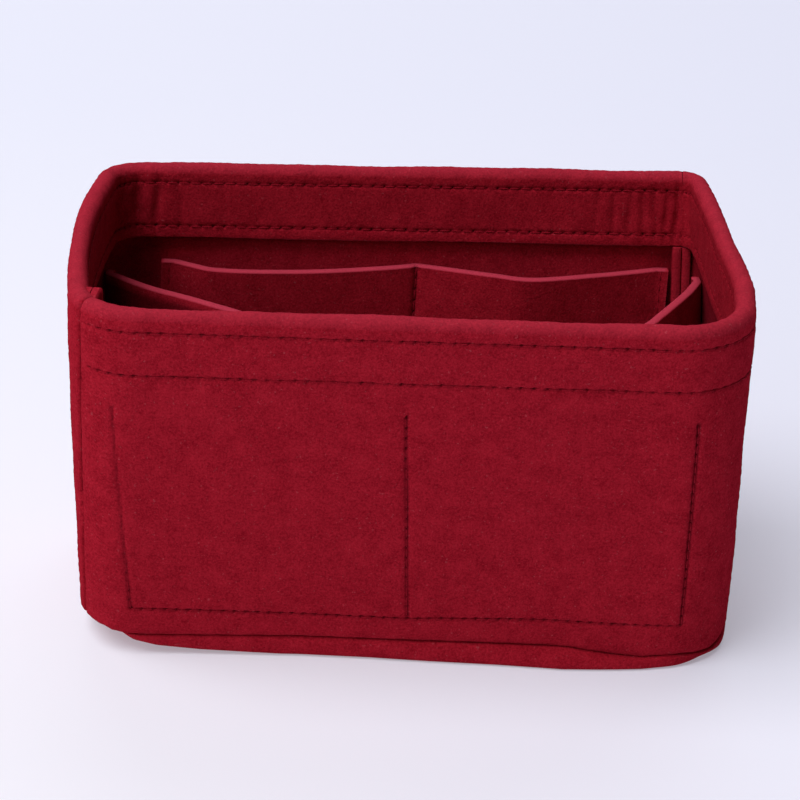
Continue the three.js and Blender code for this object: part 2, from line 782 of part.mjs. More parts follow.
const pockets = { front: frontPocket, back: backPocket, left: leftPocket, right: rightPocket };
for (const [name, pocket] of Object.entries(pockets)) {
	addThread(name + '_pocket_needle_thread', pocketBorderThread(pocket, onWall, 1));
	addThread(name + '_pocket_bobbin_thread', pocketBorderThread(pocket, onPanel, -1));
}
for (const [name, pocket] of Object.entries({ front: frontPocket, back: backPocket })) {
	addThread(name + '_divider_needle_thread', pocketDividerThread(pocket, onWall, 1));
	addThread(name + '_divider_bobbin_thread', pocketDividerThread(pocket, onPanel, -1));
}

const frontLevels = allowanceLevels(true, hemThickness, 0);
const backLevels = allowanceLevels(false, 0, 0);
addThread('front_left_seam_needle_thread', cornerThread(frontSeam, frontSeamDirection, 1, frontLevels));
addThread('back_right_seam_needle_thread', cornerThread(backSeam, backSeamDirection, 1, backLevels));
addThread('back_right_seam_bobbin_thread', cornerThread(backSeam, backSeamDirection, -1, backLevels));

addThread('base_seam_needle_thread', baseSeamThread(wallAllowanceTop + threadOffset, 1));
addThread('base_seam_bobbin_thread', baseSeamThread(baseTopHeight - feltThickness - threadOffset, -1));

export default insert;
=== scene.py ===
"""Dresses a felt purse organizer insert: bent wall panels with a sewn hem, a turned-up base,
four inner pocket panels and every stitch that holds them together."""

import functools
import math
import random

import bmesh
import bpy
import numpy as np
from bpy.props import FloatProperty, FloatVectorProperty, PointerProperty
from mathutils import Matrix, Vector


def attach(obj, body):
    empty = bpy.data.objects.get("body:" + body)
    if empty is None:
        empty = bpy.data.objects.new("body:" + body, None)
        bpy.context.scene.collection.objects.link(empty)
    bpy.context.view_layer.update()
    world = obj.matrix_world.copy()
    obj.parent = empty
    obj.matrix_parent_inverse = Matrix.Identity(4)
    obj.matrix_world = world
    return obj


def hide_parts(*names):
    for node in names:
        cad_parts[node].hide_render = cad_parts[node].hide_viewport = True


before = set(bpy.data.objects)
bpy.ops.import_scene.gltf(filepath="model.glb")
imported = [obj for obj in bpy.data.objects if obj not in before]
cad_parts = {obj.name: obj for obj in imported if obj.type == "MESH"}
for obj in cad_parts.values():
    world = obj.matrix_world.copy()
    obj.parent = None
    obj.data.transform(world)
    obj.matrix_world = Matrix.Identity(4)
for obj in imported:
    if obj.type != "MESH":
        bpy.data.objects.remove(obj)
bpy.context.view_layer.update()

bl_info = {
    "name": "Felt Purse Organizer",
    "version": (1, 0, 0),
    "blender": (4, 5, 0),
    "location": "3D View > Sidebar > Organizer",
    "description": "Builds a felt purse organizer insert with its stitches around the packed frame",
    "category": "Object",
}

MM = 0.001

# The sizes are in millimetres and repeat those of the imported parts. The outline at the rim
# and at the base:
RIM_LENGTH = 236.5
RIM_DEPTH = 151.0
BASE_LENGTH = 245.0
BASE_DEPTH = 102.0
OVERALL_HEIGHT = 150.0
RIM_SHIFT = -2.0
SWAY = 3.8
BASE_MIDDLE = RIM_SHIFT + SWAY
RIM_RADII = (25.0, 29.0, 10.0, 17.0)
BASE_RADII = (21.0, 25.0, 20.0, 20.0)

# The felt, the hem folded in at the rim and its two rows:
FELT = 3.4
SEWN_GAP = 0.3
HEM_SLIT = 0.4
HEM = 2 * FELT + HEM_SLIT
HEM_FOOT = OVERALL_HEIGHT - 29.1
UPPER_ROW = OVERALL_HEIGHT - 7.2
LOWER_ROW = OVERALL_HEIGHT - 24.5
ROLL = HEM / 2
ROLL_HEIGHT = OVERALL_HEIGHT - ROLL

# The base seam, where the walls' edge is turned in on the base's:
BASE_SEAM = 9.3
BASE_TOP = BASE_SEAM - SEWN_GAP / 2
WALL_FOOT = BASE_SEAM + SEWN_GAP / 2
ALLOWANCE_TOP = WALL_FOOT + FELT
BASE_ALLOWANCE = 7.0
NOSE = 1.1
NOSE_REACH = 1.9
NOSE_STEPS = (0.0, 0.12, 0.3, 0.6, 1.0, 1.5, 2.1)
BASE_EDGE = 3.5
BASE_SPINE = 72.0
BASE_COLUMNS = 561
EDGE_ROUND = 0.4

# The corner seams' allowances, of which the front one is squeezed and runs up to the rim:
CORNER_ALLOWANCE = 6.0
ALLOWANCE_ROOT = 1.6
FRONT_ASIDE = 1.1
FRONT_LAYER, HIDDEN_LAYER = 3.2, 2.6
FRONT_REACH, HEM_REACH = 8.0, 12.6
FRONT_TOP = OVERALL_HEIGHT - 0.8
ROW_SHARE = 0.7
ALLOWANCE_ROUND = 0.35
THREAD_STAND = 0.65
PANEL_END = 2.0

# The pocket panels, and how they stand off their walls, in shares of width and of bulge:
POCKET_TOP = OVERALL_HEIGHT - 39.0
POCKET_SEAM = 20.3
POCKET_MARGIN = 3.0
POCKET_FOLD = 2.0
POCKET_DEPTH = FELT + SEWN_GAP + FELT / 2
PANEL_FACE = POCKET_DEPTH + FELT / 2
POCKET_SLACK = 0.9
DIVIDED = ("front", "back")
SLIM_SHARES = ((0, 0), (0.09, 0.52), (0.17, 0.87), (0.34, 1), (0.6, 0.85), (0.87, 0.37), (1, 0))
WIDE_SHARES = ((0, 0), (0.14, 0.31), (0.32, 0.72), (0.48, 1), (0.73, 0.6), (0.9, 0.25), (1, 0))
LEFT_SHARES = (
    (0, 0), (0.094, 0.159), (0.162, 0.29), (0.222, 0.438), (0.287, 0.585), (0.395, 0.804),
    (0.53, 0.99), (0.67, 0.9), (0.84, 0.46), (0.94, 0.11), (1, 0),
)
RIGHT_SHARES = (
    (0, 0), (0.1, 0.119), (0.203, 0.267), (0.328, 0.451), (0.411, 0.577), (0.62, 0.97),
    (0.74, 0.93), (0.86, 0.52), (0.94, 0.15), (1, 0),
)
SLIM_BULGE = 9.0
WIDE_BULGE = 12.0
LEFT_REACH = 69.4
RIGHT_REACH = 43.0

# How hard a row's stitches are pulled, and how clearly they show, that is how far they sink and how much
# painted shade they get, the hem's unevenly:
UPRIGHT_PULL, LEVEL_PULL, DIVIDER_PULL, OTHER_PULL = 0.75, 0.12, 0.6, 0.3
HEM_PULL, HEM_INSIDE_PULL = 0.15, 0.1
UPRIGHT_SHADE, LEVEL_SHADE, HEM_INSIDE_SHADE, HEM_FAINTEST = 0.25, 0.8, 0.25, 0.45

# How stitches press the felt: the groove under a loose one, the length of a needle hole in
# widths, half the width of the painted shade along a row and what a tight stitch adds, and a faint one's
# depth:
LOOSE_GROOVE = 0.7
HOLE_STRETCH = 1.7
LINE_WIDTH, TIGHT_WIDTH = 0.55, 0.25
FAINT_DEPTH = 0.2

# A stitch's share of the way between its holes, its lean, and what a tight or faint one sinks:
STITCH_SHARE, STITCH_LEAN = (0.84, 0.92), 0.12
TIGHT_SINK, FAINT_SINK = 0.25, 0.12

# The hem's rows: depth in the hem, side, and gaps after and before the front left seam
HEM_ROWS = {"needle": (0.0, 1, 5.0, 14.0), "bobbin": (HEM, -1, 12.0, 24.0)}

# Creases of the back hem's inner layer: where along the back, half their width and their depth
CREASES = (
    (-105.0, 2.0, 1.2), (-97.4, 1.7, 1.3), (-89.0, 1.2, 0.5), (-72.0, 1.6, 0.2),
    (74.0, 1.3, 0.3), (80.0, 1.3, 0.5), (86.5, 1.3, 0.55), (91.5, 1.2, 0.6), (96.5, 1.1, 0.7),
    (101.0, 1.1, 0.8), (105.0, 1.2, 1.2),
)

# How much painted shade darkens the felt in the corner seams, low inside at the ends and behind the
# end pockets, how pale a piece's two ends are, and how uneven the walls are:
SEAM_PAINTED_SHADE, LINING_PAINTED_SHADE, POCKET_PAINTED_SHADE = 0.75, 0.5, 0.7
END_CUT = 0.15
ROUGHNESS = 0.09


# Outlines and places


def leftward(directions):
    """Level directions turned a quarter to the left, which is inward along an outline."""
    return np.stack([-directions[..., 1], directions[..., 0]], axis=-1)


class Outline:
    """A closed outline in plan, anticlockwise from the front left corner's end: front side,
    corner, right end, corner, back side, corner, left end, corner. The radii start at the
    front left corner, and the bows say how far the right and left ends' middles stand out."""

    def __init__(self, length, depth, radii, bows, shift, front_pull, back_pull):
        self.length, self.depth, self.shift = length, depth, shift
        self.bows = dict(zip((2, 6), bows))
        self.front_pull, self.back_pull = front_pull, back_pull
        self.sides, self.corners, lengths = {}, {}, []
        ways = np.array([(1, 0), (0, 1), (-1, 0), (0, -1)])
        spots = np.array([(-1, -1), (1, -1), (1, 1), (-1, 1)]) * (length / 2, depth / 2)
        for i in range(4):
            after = (i + 1) % 4
            start, end = spots[i] + ways[i] * radii[i], spots[after] - ways[i] * radii[after]
            self.sides[2 * i] = (start, end)
            centre = end + ways[after] * radii[after]
            self.corners[2 * i + 1] = (centre, radii[after], (i - 1) * math.pi / 2)
            lengths += [math.dist(start, end), radii[after] * math.pi / 2]
        self.lengths = np.array(lengths)
        self.starts = np.concatenate([[0.0], np.cumsum(self.lengths)])
        self.around = self.starts[-1]

    def distance(self, stretch, share):
        return self.starts[stretch] + share * self.lengths[stretch]

    def at(self, distances):
        """The points and headings at distances along the outline."""
        along = np.mod(distances, self.around)
        index = np.clip(np.searchsorted(self.starts, along, side="right") - 1, 0, 7)
        share = (along - self.starts[index]) / self.lengths[index]
        points, headings = np.zeros((len(along), 2)), np.zeros((len(along), 2))
        for i, (start, end) in self.sides.items():
            here = index == i
            heading = (end - start) / self.lengths[i]
            t = share[here, None]
            bow = 4 * self.bows.get(i, 0.0) * t * (1 - t)
            points[here] = start + (end - start) * t - leftward(heading) * bow
            headings[here] = heading
        for i, (centre, radius, first) in self.corners.items():
            here = index == i
            angle = first + share[here] * math.pi / 2
            outward = np.stack([np.cos(angle), np.sin(angle)], axis=1)
            points[here] = centre + radius * outward
            headings[here] = leftward(outward)
        left_share = 0.5 - points[:, 0] / self.length
        side_share = 2 * points[:, 1] / self.depth
        pull = np.where(points[:, 1] > 0, self.back_pull, self.front_pull)
        points[:, 1] -= pull * left_share * side_share
        points[:, 0] += self.shift
        return points, headings


RIM = Outline(RIM_LENGTH, RIM_DEPTH, RIM_RADII, (2.0, 4.0), RIM_SHIFT, 3.0, 8.5)
BASE = Outline(BASE_LENGTH, BASE_DEPTH, BASE_RADII, (0.0, 0.0), BASE_MIDDLE, 3.0, 0.0)
FRONT_SEAM = (RIM.distance(7, 0.42), BASE.distance(7, 0.31))
BACK_SEAM = (RIM.distance(3, 0.95), BASE.distance(3, 0.75))
FRONT_SEAM_BEFORE = (FRONT_SEAM[0] - RIM.around, FRONT_SEAM[1] - BASE.around)

# The corner seams, each with the way that its allowances run
FRONT_CORNER = (FRONT_SEAM, np.array([0.1, 1.0]) / math.hypot(0.1, 1.0))
BACK_CORNER = (BACK_SEAM, np.array([0.0, -1.0]))


def stretch_start(stretch):
    return (RIM.distance(stretch, 0), BASE.distance(stretch, 0))


FRONT_KNOTS = [FRONT_SEAM_BEFORE, *[stretch_start(i) for i in range(4)], BACK_SEAM]
BACK_KNOTS = [
    BACK_SEAM,
    (BACK_SEAM[0] + 2 * NOSE, BACK_SEAM[1] + 2 * NOSE),
    (BACK_SEAM[0] + BASE_ALLOWANCE, BASE.distance(4, 0) + NOSE / 2),
    (RIM.distance(4, 1 / 6), BASE.distance(4, 1 / 6)),
    *[stretch_start(i) for i in (5, 6, 7)],
    FRONT_SEAM,
]


def base_distances(knots, rim_distances):
    """The distances along the base that belong to distances along the rim."""
    rims, bases = zip(*knots)
    return np.interp(rim_distances, rims, bases)


def wall_frame(rims, bases, heights):
    """Points of the walls' outer face and the level directions inward, for arrays of places
    (down) and heights (across)."""
    heights = np.atleast_2d(heights)
    share = ((heights - BASE_SEAM) / (OVERALL_HEIGHT - BASE_SEAM))[..., None]
    low, low_heading = BASE.at(bases)
    high, high_heading = RIM.at(rims)
    points = low[:, None] * (1 - share) + high[:, None] * share
    headings = low_heading[:, None] * (1 - share) + high_heading[:, None] * share
    headings /= np.linalg.norm(headings, axis=2, keepdims=True)
    return points, leftward(headings)


def wall_points(rims, bases, depths, heights):
    """Points at depths inward from the outer face."""
    depths, heights = np.atleast_2d(depths), np.atleast_2d(heights)
    points, inward = wall_frame(rims, bases, heights)
    level = points + inward * depths[..., None]
    tall = np.broadcast_to(heights, level.shape[:2])[..., None]
    return np.concatenate([level, tall], axis=2)


def off_wall(rims, bases, heights):
    """Directions straight off the outer face, level."""
    _, inward = wall_frame(rims, bases, heights)
    return np.concatenate([-inward, np.zeros(inward.shape[:2] + (1,))], axis=2)


def hat(values, places, heights):
    return np.interp(values, places, heights)


def ramp(values, low, high):
    """0 up to low, 1 from high on and even between them."""
    return np.clip((values - low) / (high - low), 0, 1)


def nose(most, distance):
    """How far the felt is rounded back, at a distance from its edge."""
    return most * np.maximum(0, 1 - distance / NOSE_REACH) ** 2


# How the soft felt strays from its ideal shape, by place along the length: how far the foot's
# front edge is lifted off the ground, how far the base seam sags and stands forward, how far
# the strip under it bulges, and how far the lowest row of stitches strays
LIFT = (
    (-124, -120.7, -120.4, -119.4, -117.9, -110.2, -106.9, -103.3, -99.7, -91, -75, -57, -45),
    (5.5, 5.5, 7.9, 9.6, 10.2, 9.6, 8.7, 7.6, 6.2, 3.3, 1.4, 0.5, 0),
)
LIFT_RIGHT = ((104, 108, 112, 115.4, 118.5, 121), (0, 0.8, 1.9, 2.2, 1.5, 0.2))
SAG = (
    (-106, -96, 55, 62, 70, 84.7, 89.5, 94.5, 99, 103.8, 109, 112, 116, 120, 123, 124.3),
    (0.1, 0.9, 0.9, 1.2, 2.5, 4.3, 4.6, 4.2, 3.9, 3.8, 4.6, 5.2, 5.6, 5.0, 3.5, 1.5),
)
FORWARD = (
    (-101, -75, -38, 0, 36, 59, 74, 89.5, 99, 104, 112),
    (0.6, -0.1, -1.1, 0, 0.7, 1.5, 2.0, 2.0, 1.5, 1.0, 0),
)
BULGE = ((-75, -38, -12, 11, 36, 60, 80, 90, 99, 104), (0.1, 0.9, 1.3, 2.5, 3.4, 4.6, 3.1, 2.1, 0.7, 0))
STRAY = ((-99, -53, -7, 1, 51, 98), (0.7, 0, -0.9, -1.0, 0.65, -0.6))

# The lift past which the wall lifts too, the heights above the base seam at which lift, sag
# and lean end, and how far the hem's rows stray:
FOOT_LIFT = 8.8
LIFT_END, SAG_END, LEAN_END = 30.0, 11.0, 40.0
BACK_ROWS, FRONT_ROWS = 0.6, -0.9

# How far the walls swell, the curled corner draws in and the right rim stands out, and where:
SWELL = 0.8
TUCK, TUCK_X, TUCK_Y = 2.6, -99.7, -30.0
RIM_BULGE, BULGE_PLACE, BULGE_REACH = 2.6, -32.0, 38.0


def settle(points):
    """Where the insert's soft felt comes to rest, from its ideal shape: the foot's front left
    corner curls up, the front wall sags over the base near its right end, and the walls and
    rows stray a little."""
    x, y, z = points.T
    level = z / OVERALL_HEIGHT
    front, back = ramp(-y, 15, 43), ramp(y, 20, 48)
    below = 1 - ramp(z, 0, BASE_SEAM)
    above = np.maximum(z - BASE_SEAM, 0)
    lifted = hat(x, *LIFT) * ramp(-y, -10, 25) + hat(x, *LIFT_RIGHT) * front
    lift = np.minimum(lifted, FOOT_LIFT) * below
    lift += np.maximum(lifted - FOOT_LIFT, 0) * (1 - ramp(above, 0, LIFT_END))
    sag = hat(x, *SAG) * front * (1 - below) * (1 - ramp(above, 0, SAG_END)) ** 1.5
    low_row = hat(x, *STRAY) * front * hat(z, (BASE_SEAM, POCKET_SEAM, 45), (0, 1, 0))
    rows = (BACK_ROWS * back + FRONT_ROWS * front) * hat(z, (100, 122, 144, 149), (0, 1, 1, 0))
    leftward = 1 - ramp(x, BASE_MIDDLE - BASE_LENGTH / 2, BASE_MIDDLE + BASE_LENGTH / 2)
    straight = (3 * leftward + 0.5) * (1 - level)
    lean = hat(x, *FORWARD) * (1 - ramp(above, 0, LEAN_END)) + hat(x, *BULGE) * below**0.7
    swell = SWELL * 4 * level * (1 - level)
    tucked = TUCK * ramp(-x, 99, 105) * front * np.clip(below * 5, 0, 1)
    tucked = tucked / np.maximum(np.hypot(x - TUCK_X, y - TUCK_Y), 1)
    stands_out = RIM_BULGE * np.clip(1 - abs(y - BULGE_PLACE) / BULGE_REACH, 0, 1)
    stands_out = stands_out * ramp(x, 85, 115) * ramp(z, 95, 140)
    moved_x = x * (1 + swell / 120) - tucked * (x - TUCK_X) + stands_out
    moved_y = y * (1 + swell / 65) - tucked * (y - TUCK_Y) - (straight + lean) * front
    return np.stack([moved_x, moved_y, z + lift - sag + low_row + rows], axis=1)


# Rows of stitches


class Seam:
    """A row of stitches: its needle holes on a face of the felt, the way off the felt for all
    or for each, and how hard and how clear each stitch is, its clearness scaling the painted shade at its
    holes."""

    def __init__(self, holes, outward, pull=OTHER_PULL):
        self.holes = holes
        self.outward = np.broadcast_to(outward, holes.shape)
        self.pull = np.full(len(self.holes) - 1, pull)
        self.shade = np.ones(len(self.holes) - 1)

    def press(self, points, settings):
        """How far the felt is drawn in at each of the points, and how much painted shade it gets there, in
        the needle holes and along a tight row.
        """
        groove, width = settings.groove_depth / MM, settings.groove_width / MM
        hole, hole_width = settings.hole_depth / MM, settings.hole_width / MM
        low = self.holes.min(axis=0) - 3 * width
        high = self.holes.max(axis=0) + 3 * width
        near = np.flatnonzero(((points > low) & (points < high)).all(axis=1))
        spots = points[near]
        gap = np.full(len(near), np.inf)
        beside = np.full(len(near), np.inf)
        pull, shade = np.zeros(len(near)), np.zeros(len(near))
        for start, end, hard, deep in zip(self.holes[:-1], self.holes[1:], self.pull, self.shade):
            run = end - start
            length = np.linalg.norm(run)
            share = np.clip((spots - start) @ run / length**2, 0, 1)
            away = np.linalg.norm(spots - start - share[:, None] * run, axis=1)
            closer = away < gap
            gap[closer] = away[closer]
            beside[closer] = (np.minimum(share, 1 - share) * length)[closer]
            pull[closer], shade[closer] = hard, deep
        drawn, dark = np.zeros(len(points)), np.zeros(len(points))
        dash = np.exp(-((gap / hole_width) ** 2 + (beside / (HOLE_STRETCH * hole_width)) ** 2))
        sunk = groove * (LOOSE_GROOVE + pull) * np.exp(-((gap / width) ** 2)) + hole * dash
        drawn[near] = sunk * (FAINT_DEPTH + (1 - FAINT_DEPTH) * shade)
        # Painted shade: a line along a tight row, and a spot in each needle hole.
        line = pull * np.exp(-((gap / (LINE_WIDTH + TIGHT_WIDTH * pull)) ** 2))
        dark[near] = np.clip(line + (1 - pull) * dash, 0, 1) * shade
        return drawn, dark


def line_of_holes(corners, pitch):
    """Points a stitch apart along straight runs between the corners."""
    holes = [corners[0]]
    for start, end in zip(corners[:-1], corners[1:]):
        count = max(1, round(np.linalg.norm(end - start) / pitch))
        holes += [start + (end - start) * (i + 1) / count for i in range(count)]
    return np.array(holes)


def hem_stations(start, end, pitch):
    """Rim distances of the needle holes between two seams."""
    count = max(1, round((end - start) / pitch))
    return np.linspace(start, end, count + 1)


class Pocket:
    """Where a pocket panel is sewn, between the stations of its two side seams."""

    def __init__(self, start, end, inward, profile):
        self.start, self.end = np.array(start), np.array(end)
        self.inward = np.array(inward, float)
        self.span = abs(self.end[0] - self.start[0])
        self.profile = profile(self.span)

    def stations(self, shares):
        pairs = self.start + (self.end - self.start) * np.asarray(shares, float)[:, None]
        return pairs[:, 0], pairs[:, 1]

    def spot(self, across, height, depth):
        rims, bases = self.stations([across])
        return wall_points(rims, bases, [[depth]], [[height]])[0, 0]

    def border(self, pitch, depth, sign):
        """The seam down one side, along the bottom and up the other side."""
        bottom = [self.spot(share, POCKET_SEAM, depth) for share in np.linspace(0, 1, 7)]
        corners = [self.spot(0, POCKET_TOP, depth), *bottom, self.spot(1, POCKET_TOP, depth)]
        seam = self.seam(corners, pitch, sign)
        upright = abs(np.diff(seam.holes[:, 2])) > pitch / 2
        seam.pull = np.where(upright, UPRIGHT_PULL, LEVEL_PULL)
        if sign < 0:
            seam.shade = np.where(upright, UPRIGHT_SHADE, LEVEL_SHADE)
        return seam

    def divider(self, pitch, depth, sign):
        """The seam between the panel's two pockets."""
        foot = POCKET_SEAM + 2 * THREAD_STAND
        seam = self.seam([self.spot(0.5, POCKET_TOP, depth), self.spot(0.5, foot, depth)], pitch, sign)
        seam.pull[:] = DIVIDER_PULL
        return seam

    def seam(self, corners, pitch, sign):
        return Seam(line_of_holes(corners, pitch), np.append(self.inward * -sign, 0.0))


def spline(shares, reach, span):
    """A smooth curve through a pocket's shares, as shares along it and millimetres off the wall."""
    points = np.array([(along * span, out * reach) for along, out in shares])
    padded = np.concatenate([points[:1], points, points[-1:]])
    curve = []
    for i in range(len(points) - 1):
        before, start, end, after = padded[i : i + 4]
        t = np.linspace(0, 1, 14, endpoint=False)[:, None]
        v0, v1 = (end - before) / 2, (after - start) / 2
        curve.append(
            (2 * start - 2 * end + v0 + v1) * t**3
            + (-3 * start + 3 * end - 2 * v0 - v1) * t**2 + v0 * t + start
        )
    curve = np.concatenate([*curve, points[-1:]])
    return np.stack([curve[:, 0] / span, np.maximum(curve[:, 1], 0)], axis=1)


def twin(first, first_bulge, second, second_bulge):
    def profile(span):
        left = spline(first, first_bulge, span / 2)
        right = spline(second, second_bulge, span / 2)
        left[:, 0] /= 2
        right[:, 0] = (1 + right[:, 0]) / 2
        return np.concatenate([left, right[1:]])
    return profile


def turned_round(shares):
    return [(1 - along, out) for along, out in reversed(shares)]


def long_side_stations(stretch, *plans):
    """The stations at which a front or back pocket's side seams start, left then right, from
    their insets and shifts at the rim and at the base."""
    turn = 1 if stretch == 0 else -1

    def station(side, outline, inset, shift):
        start = outline.distance(stretch, 0)
        start_x = outline.at([start + 1e-6])[0][0, 0] - RIM_SHIFT
        return start + turn * (side * (outline.length / 2 - inset) + shift - start_x)

    return [
        [station(side, outline, *plan) for outline, plan in zip((RIM, BASE), plans)]
        for side in (-1, 1)
    ]


def end_station(stretch, rim_distance, base_distance):
    """A side seam of an end pocket, by its distances from the end's middle."""
    return (RIM.distance(stretch, 0.5) + rim_distance, BASE.distance(stretch, 0.5) + base_distance)


# Each pocket panel's side seams, the way inward from its wall, and its profile
POCKETS = {
    "front": Pocket(
        *long_side_stations(0, (17.0, -2.8), (21.25, 3.8)), (0, 1),
        twin(turned_round(WIDE_SHARES), SLIM_BULGE, turned_round(SLIM_SHARES), SLIM_BULGE),
    ),
    "back": Pocket(
        *long_side_stations(4, (21.75, 6.7), (26.0, 2.8)), (0, -1),
        twin(SLIM_SHARES, SLIM_BULGE, WIDE_SHARES, WIDE_BULGE),
    ),
    "left": Pocket(
        end_station(6, -57.5, -24.5), end_station(6, 57.5, 25.5), (1, 0),
        lambda span: spline(LEFT_SHARES, LEFT_REACH, span),
    ),
    "right": Pocket(
        end_station(2, 53.5, 27.5), end_station(2, -63.5, -30.5), (-1, 0),
        lambda span: spline(RIGHT_SHARES, RIGHT_REACH, span),
    ),
}


def hem_row(height, depth, sign, start_gap, end_gap, pitch):
    """A hem row from the front left seam round to it again, with stitches that show unevenly."""
    start, end = FRONT_SEAM_BEFORE[0] + start_gap, FRONT_SEAM[0] - end_gap
    front = hem_stations(start, BACK_SEAM[0] - PANEL_END, pitch)
    back = hem_stations(BACK_SEAM[0] + PANEL_END, end, pitch)
    bases = np.concatenate([base_distances(FRONT_KNOTS, front), base_distances(BACK_KNOTS, back)])
    rims = np.concatenate([front, back])
    holes = wall_points(rims, bases, [[depth]], [[height]])[:, 0]
    pull = HEM_INSIDE_PULL if sign < 0 else HEM_PULL
    seam = Seam(holes, off_wall(rims, bases, [[height]])[:, 0] * sign, pull)
    random.seed(height + depth)
    seam.shade = np.array([random.uniform(HEM_FAINTEST, 1.0) for _ in seam.shade])
    if sign < 0:
        seam.shade[: len(front)] *= HEM_INSIDE_SHADE
    return seam


def allowance_root(seam, height):
    """Where a corner allowance leaves the inner side of the walls, at a height."""
    points, inward = wall_frame([seam[0]], [seam[1]], [[height]])
    aside = FRONT_ASIDE if seam == FRONT_SEAM else 0.0
    return points[0, 0] + inward[0, 0] * ALLOWANCE_ROOT + np.array([aside, 0.0])


def corner_row(seam, run, side, layer, pitch):
    """The row that closes a corner, on the outer face of one allowance."""
    aside = -leftward(run) * side
    corners = []
    for height, reach, thickness in allowance_levels(layer):
        spot = allowance_root(seam, height) + run * reach * ROW_SHARE
        corners.append(np.append(spot + aside * (SEWN_GAP / 2 + thickness), height))
    return Seam(line_of_holes(corners, pitch), np.append(aside, 0.0))


def base_row(height, up, pitch):
    """The row that sews the base to the walls, on their allowances."""
    count = round(BASE.around / pitch)
    distances = np.arange(count) * BASE.around / count
    points, headings = BASE.at(distances)
    depth = (NOSE + BASE_ALLOWANCE) / 2
    level = points + leftward(headings) * depth
    holes = np.column_stack([level, np.full(count, height)])
    holes = np.concatenate([holes, holes[:1]])
    return Seam(holes, (0.0, 0.0, up))


def allowance_levels(thickness):
    """Heights, reaches and thicknesses of a corner allowance, from its foot up. One with a
    thickness of its own is squeezed between the walls and runs up to a rounded top."""
    foot = ALLOWANCE_TOP + 2 * THREAD_STAND + SEWN_GAP
    if thickness is None:
        narrow = (CORNER_ALLOWANCE, FELT)
        return [(foot, *narrow), (POCKET_TOP, *narrow), (HEM_FOOT - SEWN_GAP, *narrow)]
    levels = [(foot, FRONT_REACH, thickness), (HEM_FOOT - FELT, FRONT_REACH, thickness)]
    levels.append((HEM_FOOT, HEM_REACH, thickness))
    rounding = ((2.2, 0, 1), (1.1, 0.2, 0.96), (0.4, 0.6, 0.88), (0, 1.6, 0.7))
    return levels + [
        (FRONT_TOP - drop, HEM_REACH - inset, thickness * share) for drop, inset, share in rounding
    ]


@functools.cache
def all_seams(pitch):
    """Every row of stitches, by the name of the thread that it shows."""
    seams = {}
    for row, height in (("upper", UPPER_ROW), ("lower", LOWER_ROW)):
        for kind, place in HEM_ROWS.items():
            seams[f"hem_{row}_{kind}_thread"] = hem_row(height, *place, pitch)
    for name, pocket in POCKETS.items():
        seams[f"{name}_pocket_needle_thread"] = pocket.border(pitch, 0.0, 1)
        seams[f"{name}_pocket_bobbin_thread"] = pocket.border(pitch, PANEL_FACE, -1)
    for name in DIVIDED:
        seams[f"{name}_divider_needle_thread"] = POCKETS[name].divider(pitch, 0.0, 1)
        seams[f"{name}_divider_bobbin_thread"] = POCKETS[name].divider(pitch, PANEL_FACE, -1)
    seams["front_left_seam_needle_thread"] = corner_row(*FRONT_CORNER, 1, FRONT_LAYER, pitch)
    seams["back_right_seam_needle_thread"] = corner_row(*BACK_CORNER, 1, None, pitch)
    seams["back_right_seam_bobbin_thread"] = corner_row(*BACK_CORNER, -1, None, pitch)
    seams["base_seam_needle_thread"] = base_row(ALLOWANCE_TOP, 1, pitch)
    seams["base_seam_bobbin_thread"] = base_row(BASE_TOP - FELT, -1, pitch)
    return seams


# The rows whose stitches press the walls
WALL_ROWS = (
    *[f"hem_{row}_{kind}_thread" for row in ("upper", "lower") for kind in HEM_ROWS],
    *[f"{name}_pocket_needle_thread" for name in POCKETS],
    *[f"{name}_divider_needle_thread" for name in DIVIDED],
)


# Meshes


def face_normals(rings):
    """Outward directions at the points of a section carried along, by finite differences."""
    along = np.gradient(rings, axis=0)
    across = np.gradient(rings, axis=1)
    across[:, 0] = across[:, -1] = rings[:, 1] - rings[:, -2]
    normals = np.cross(along, across)
    return normals / np.maximum(np.linalg.norm(normals, axis=2, keepdims=True), 1e-9)


def fill_rims(bm, smooth, place):
    """Fills each open rim with one face. The place function gives the cloth's coordinates."""
    cloth = bm.loops.layers.uv.verify()
    rims = [edge for edge in bm.edges if edge.is_boundary]
    for face in bmesh.ops.holes_fill(bm, edges=rims, sides=0)["faces"]:
        face.smooth = smooth
        for loop in face.loops:
            loop[cloth].uv = place(loop.vert.co)


def steps_along(points):
    """Distances in metres along a line of points in millimetres."""
    steps = np.linalg.norm(np.diff(points, axis=0), axis=1)
    return np.concatenate([[0], np.cumsum(steps)]) * MM


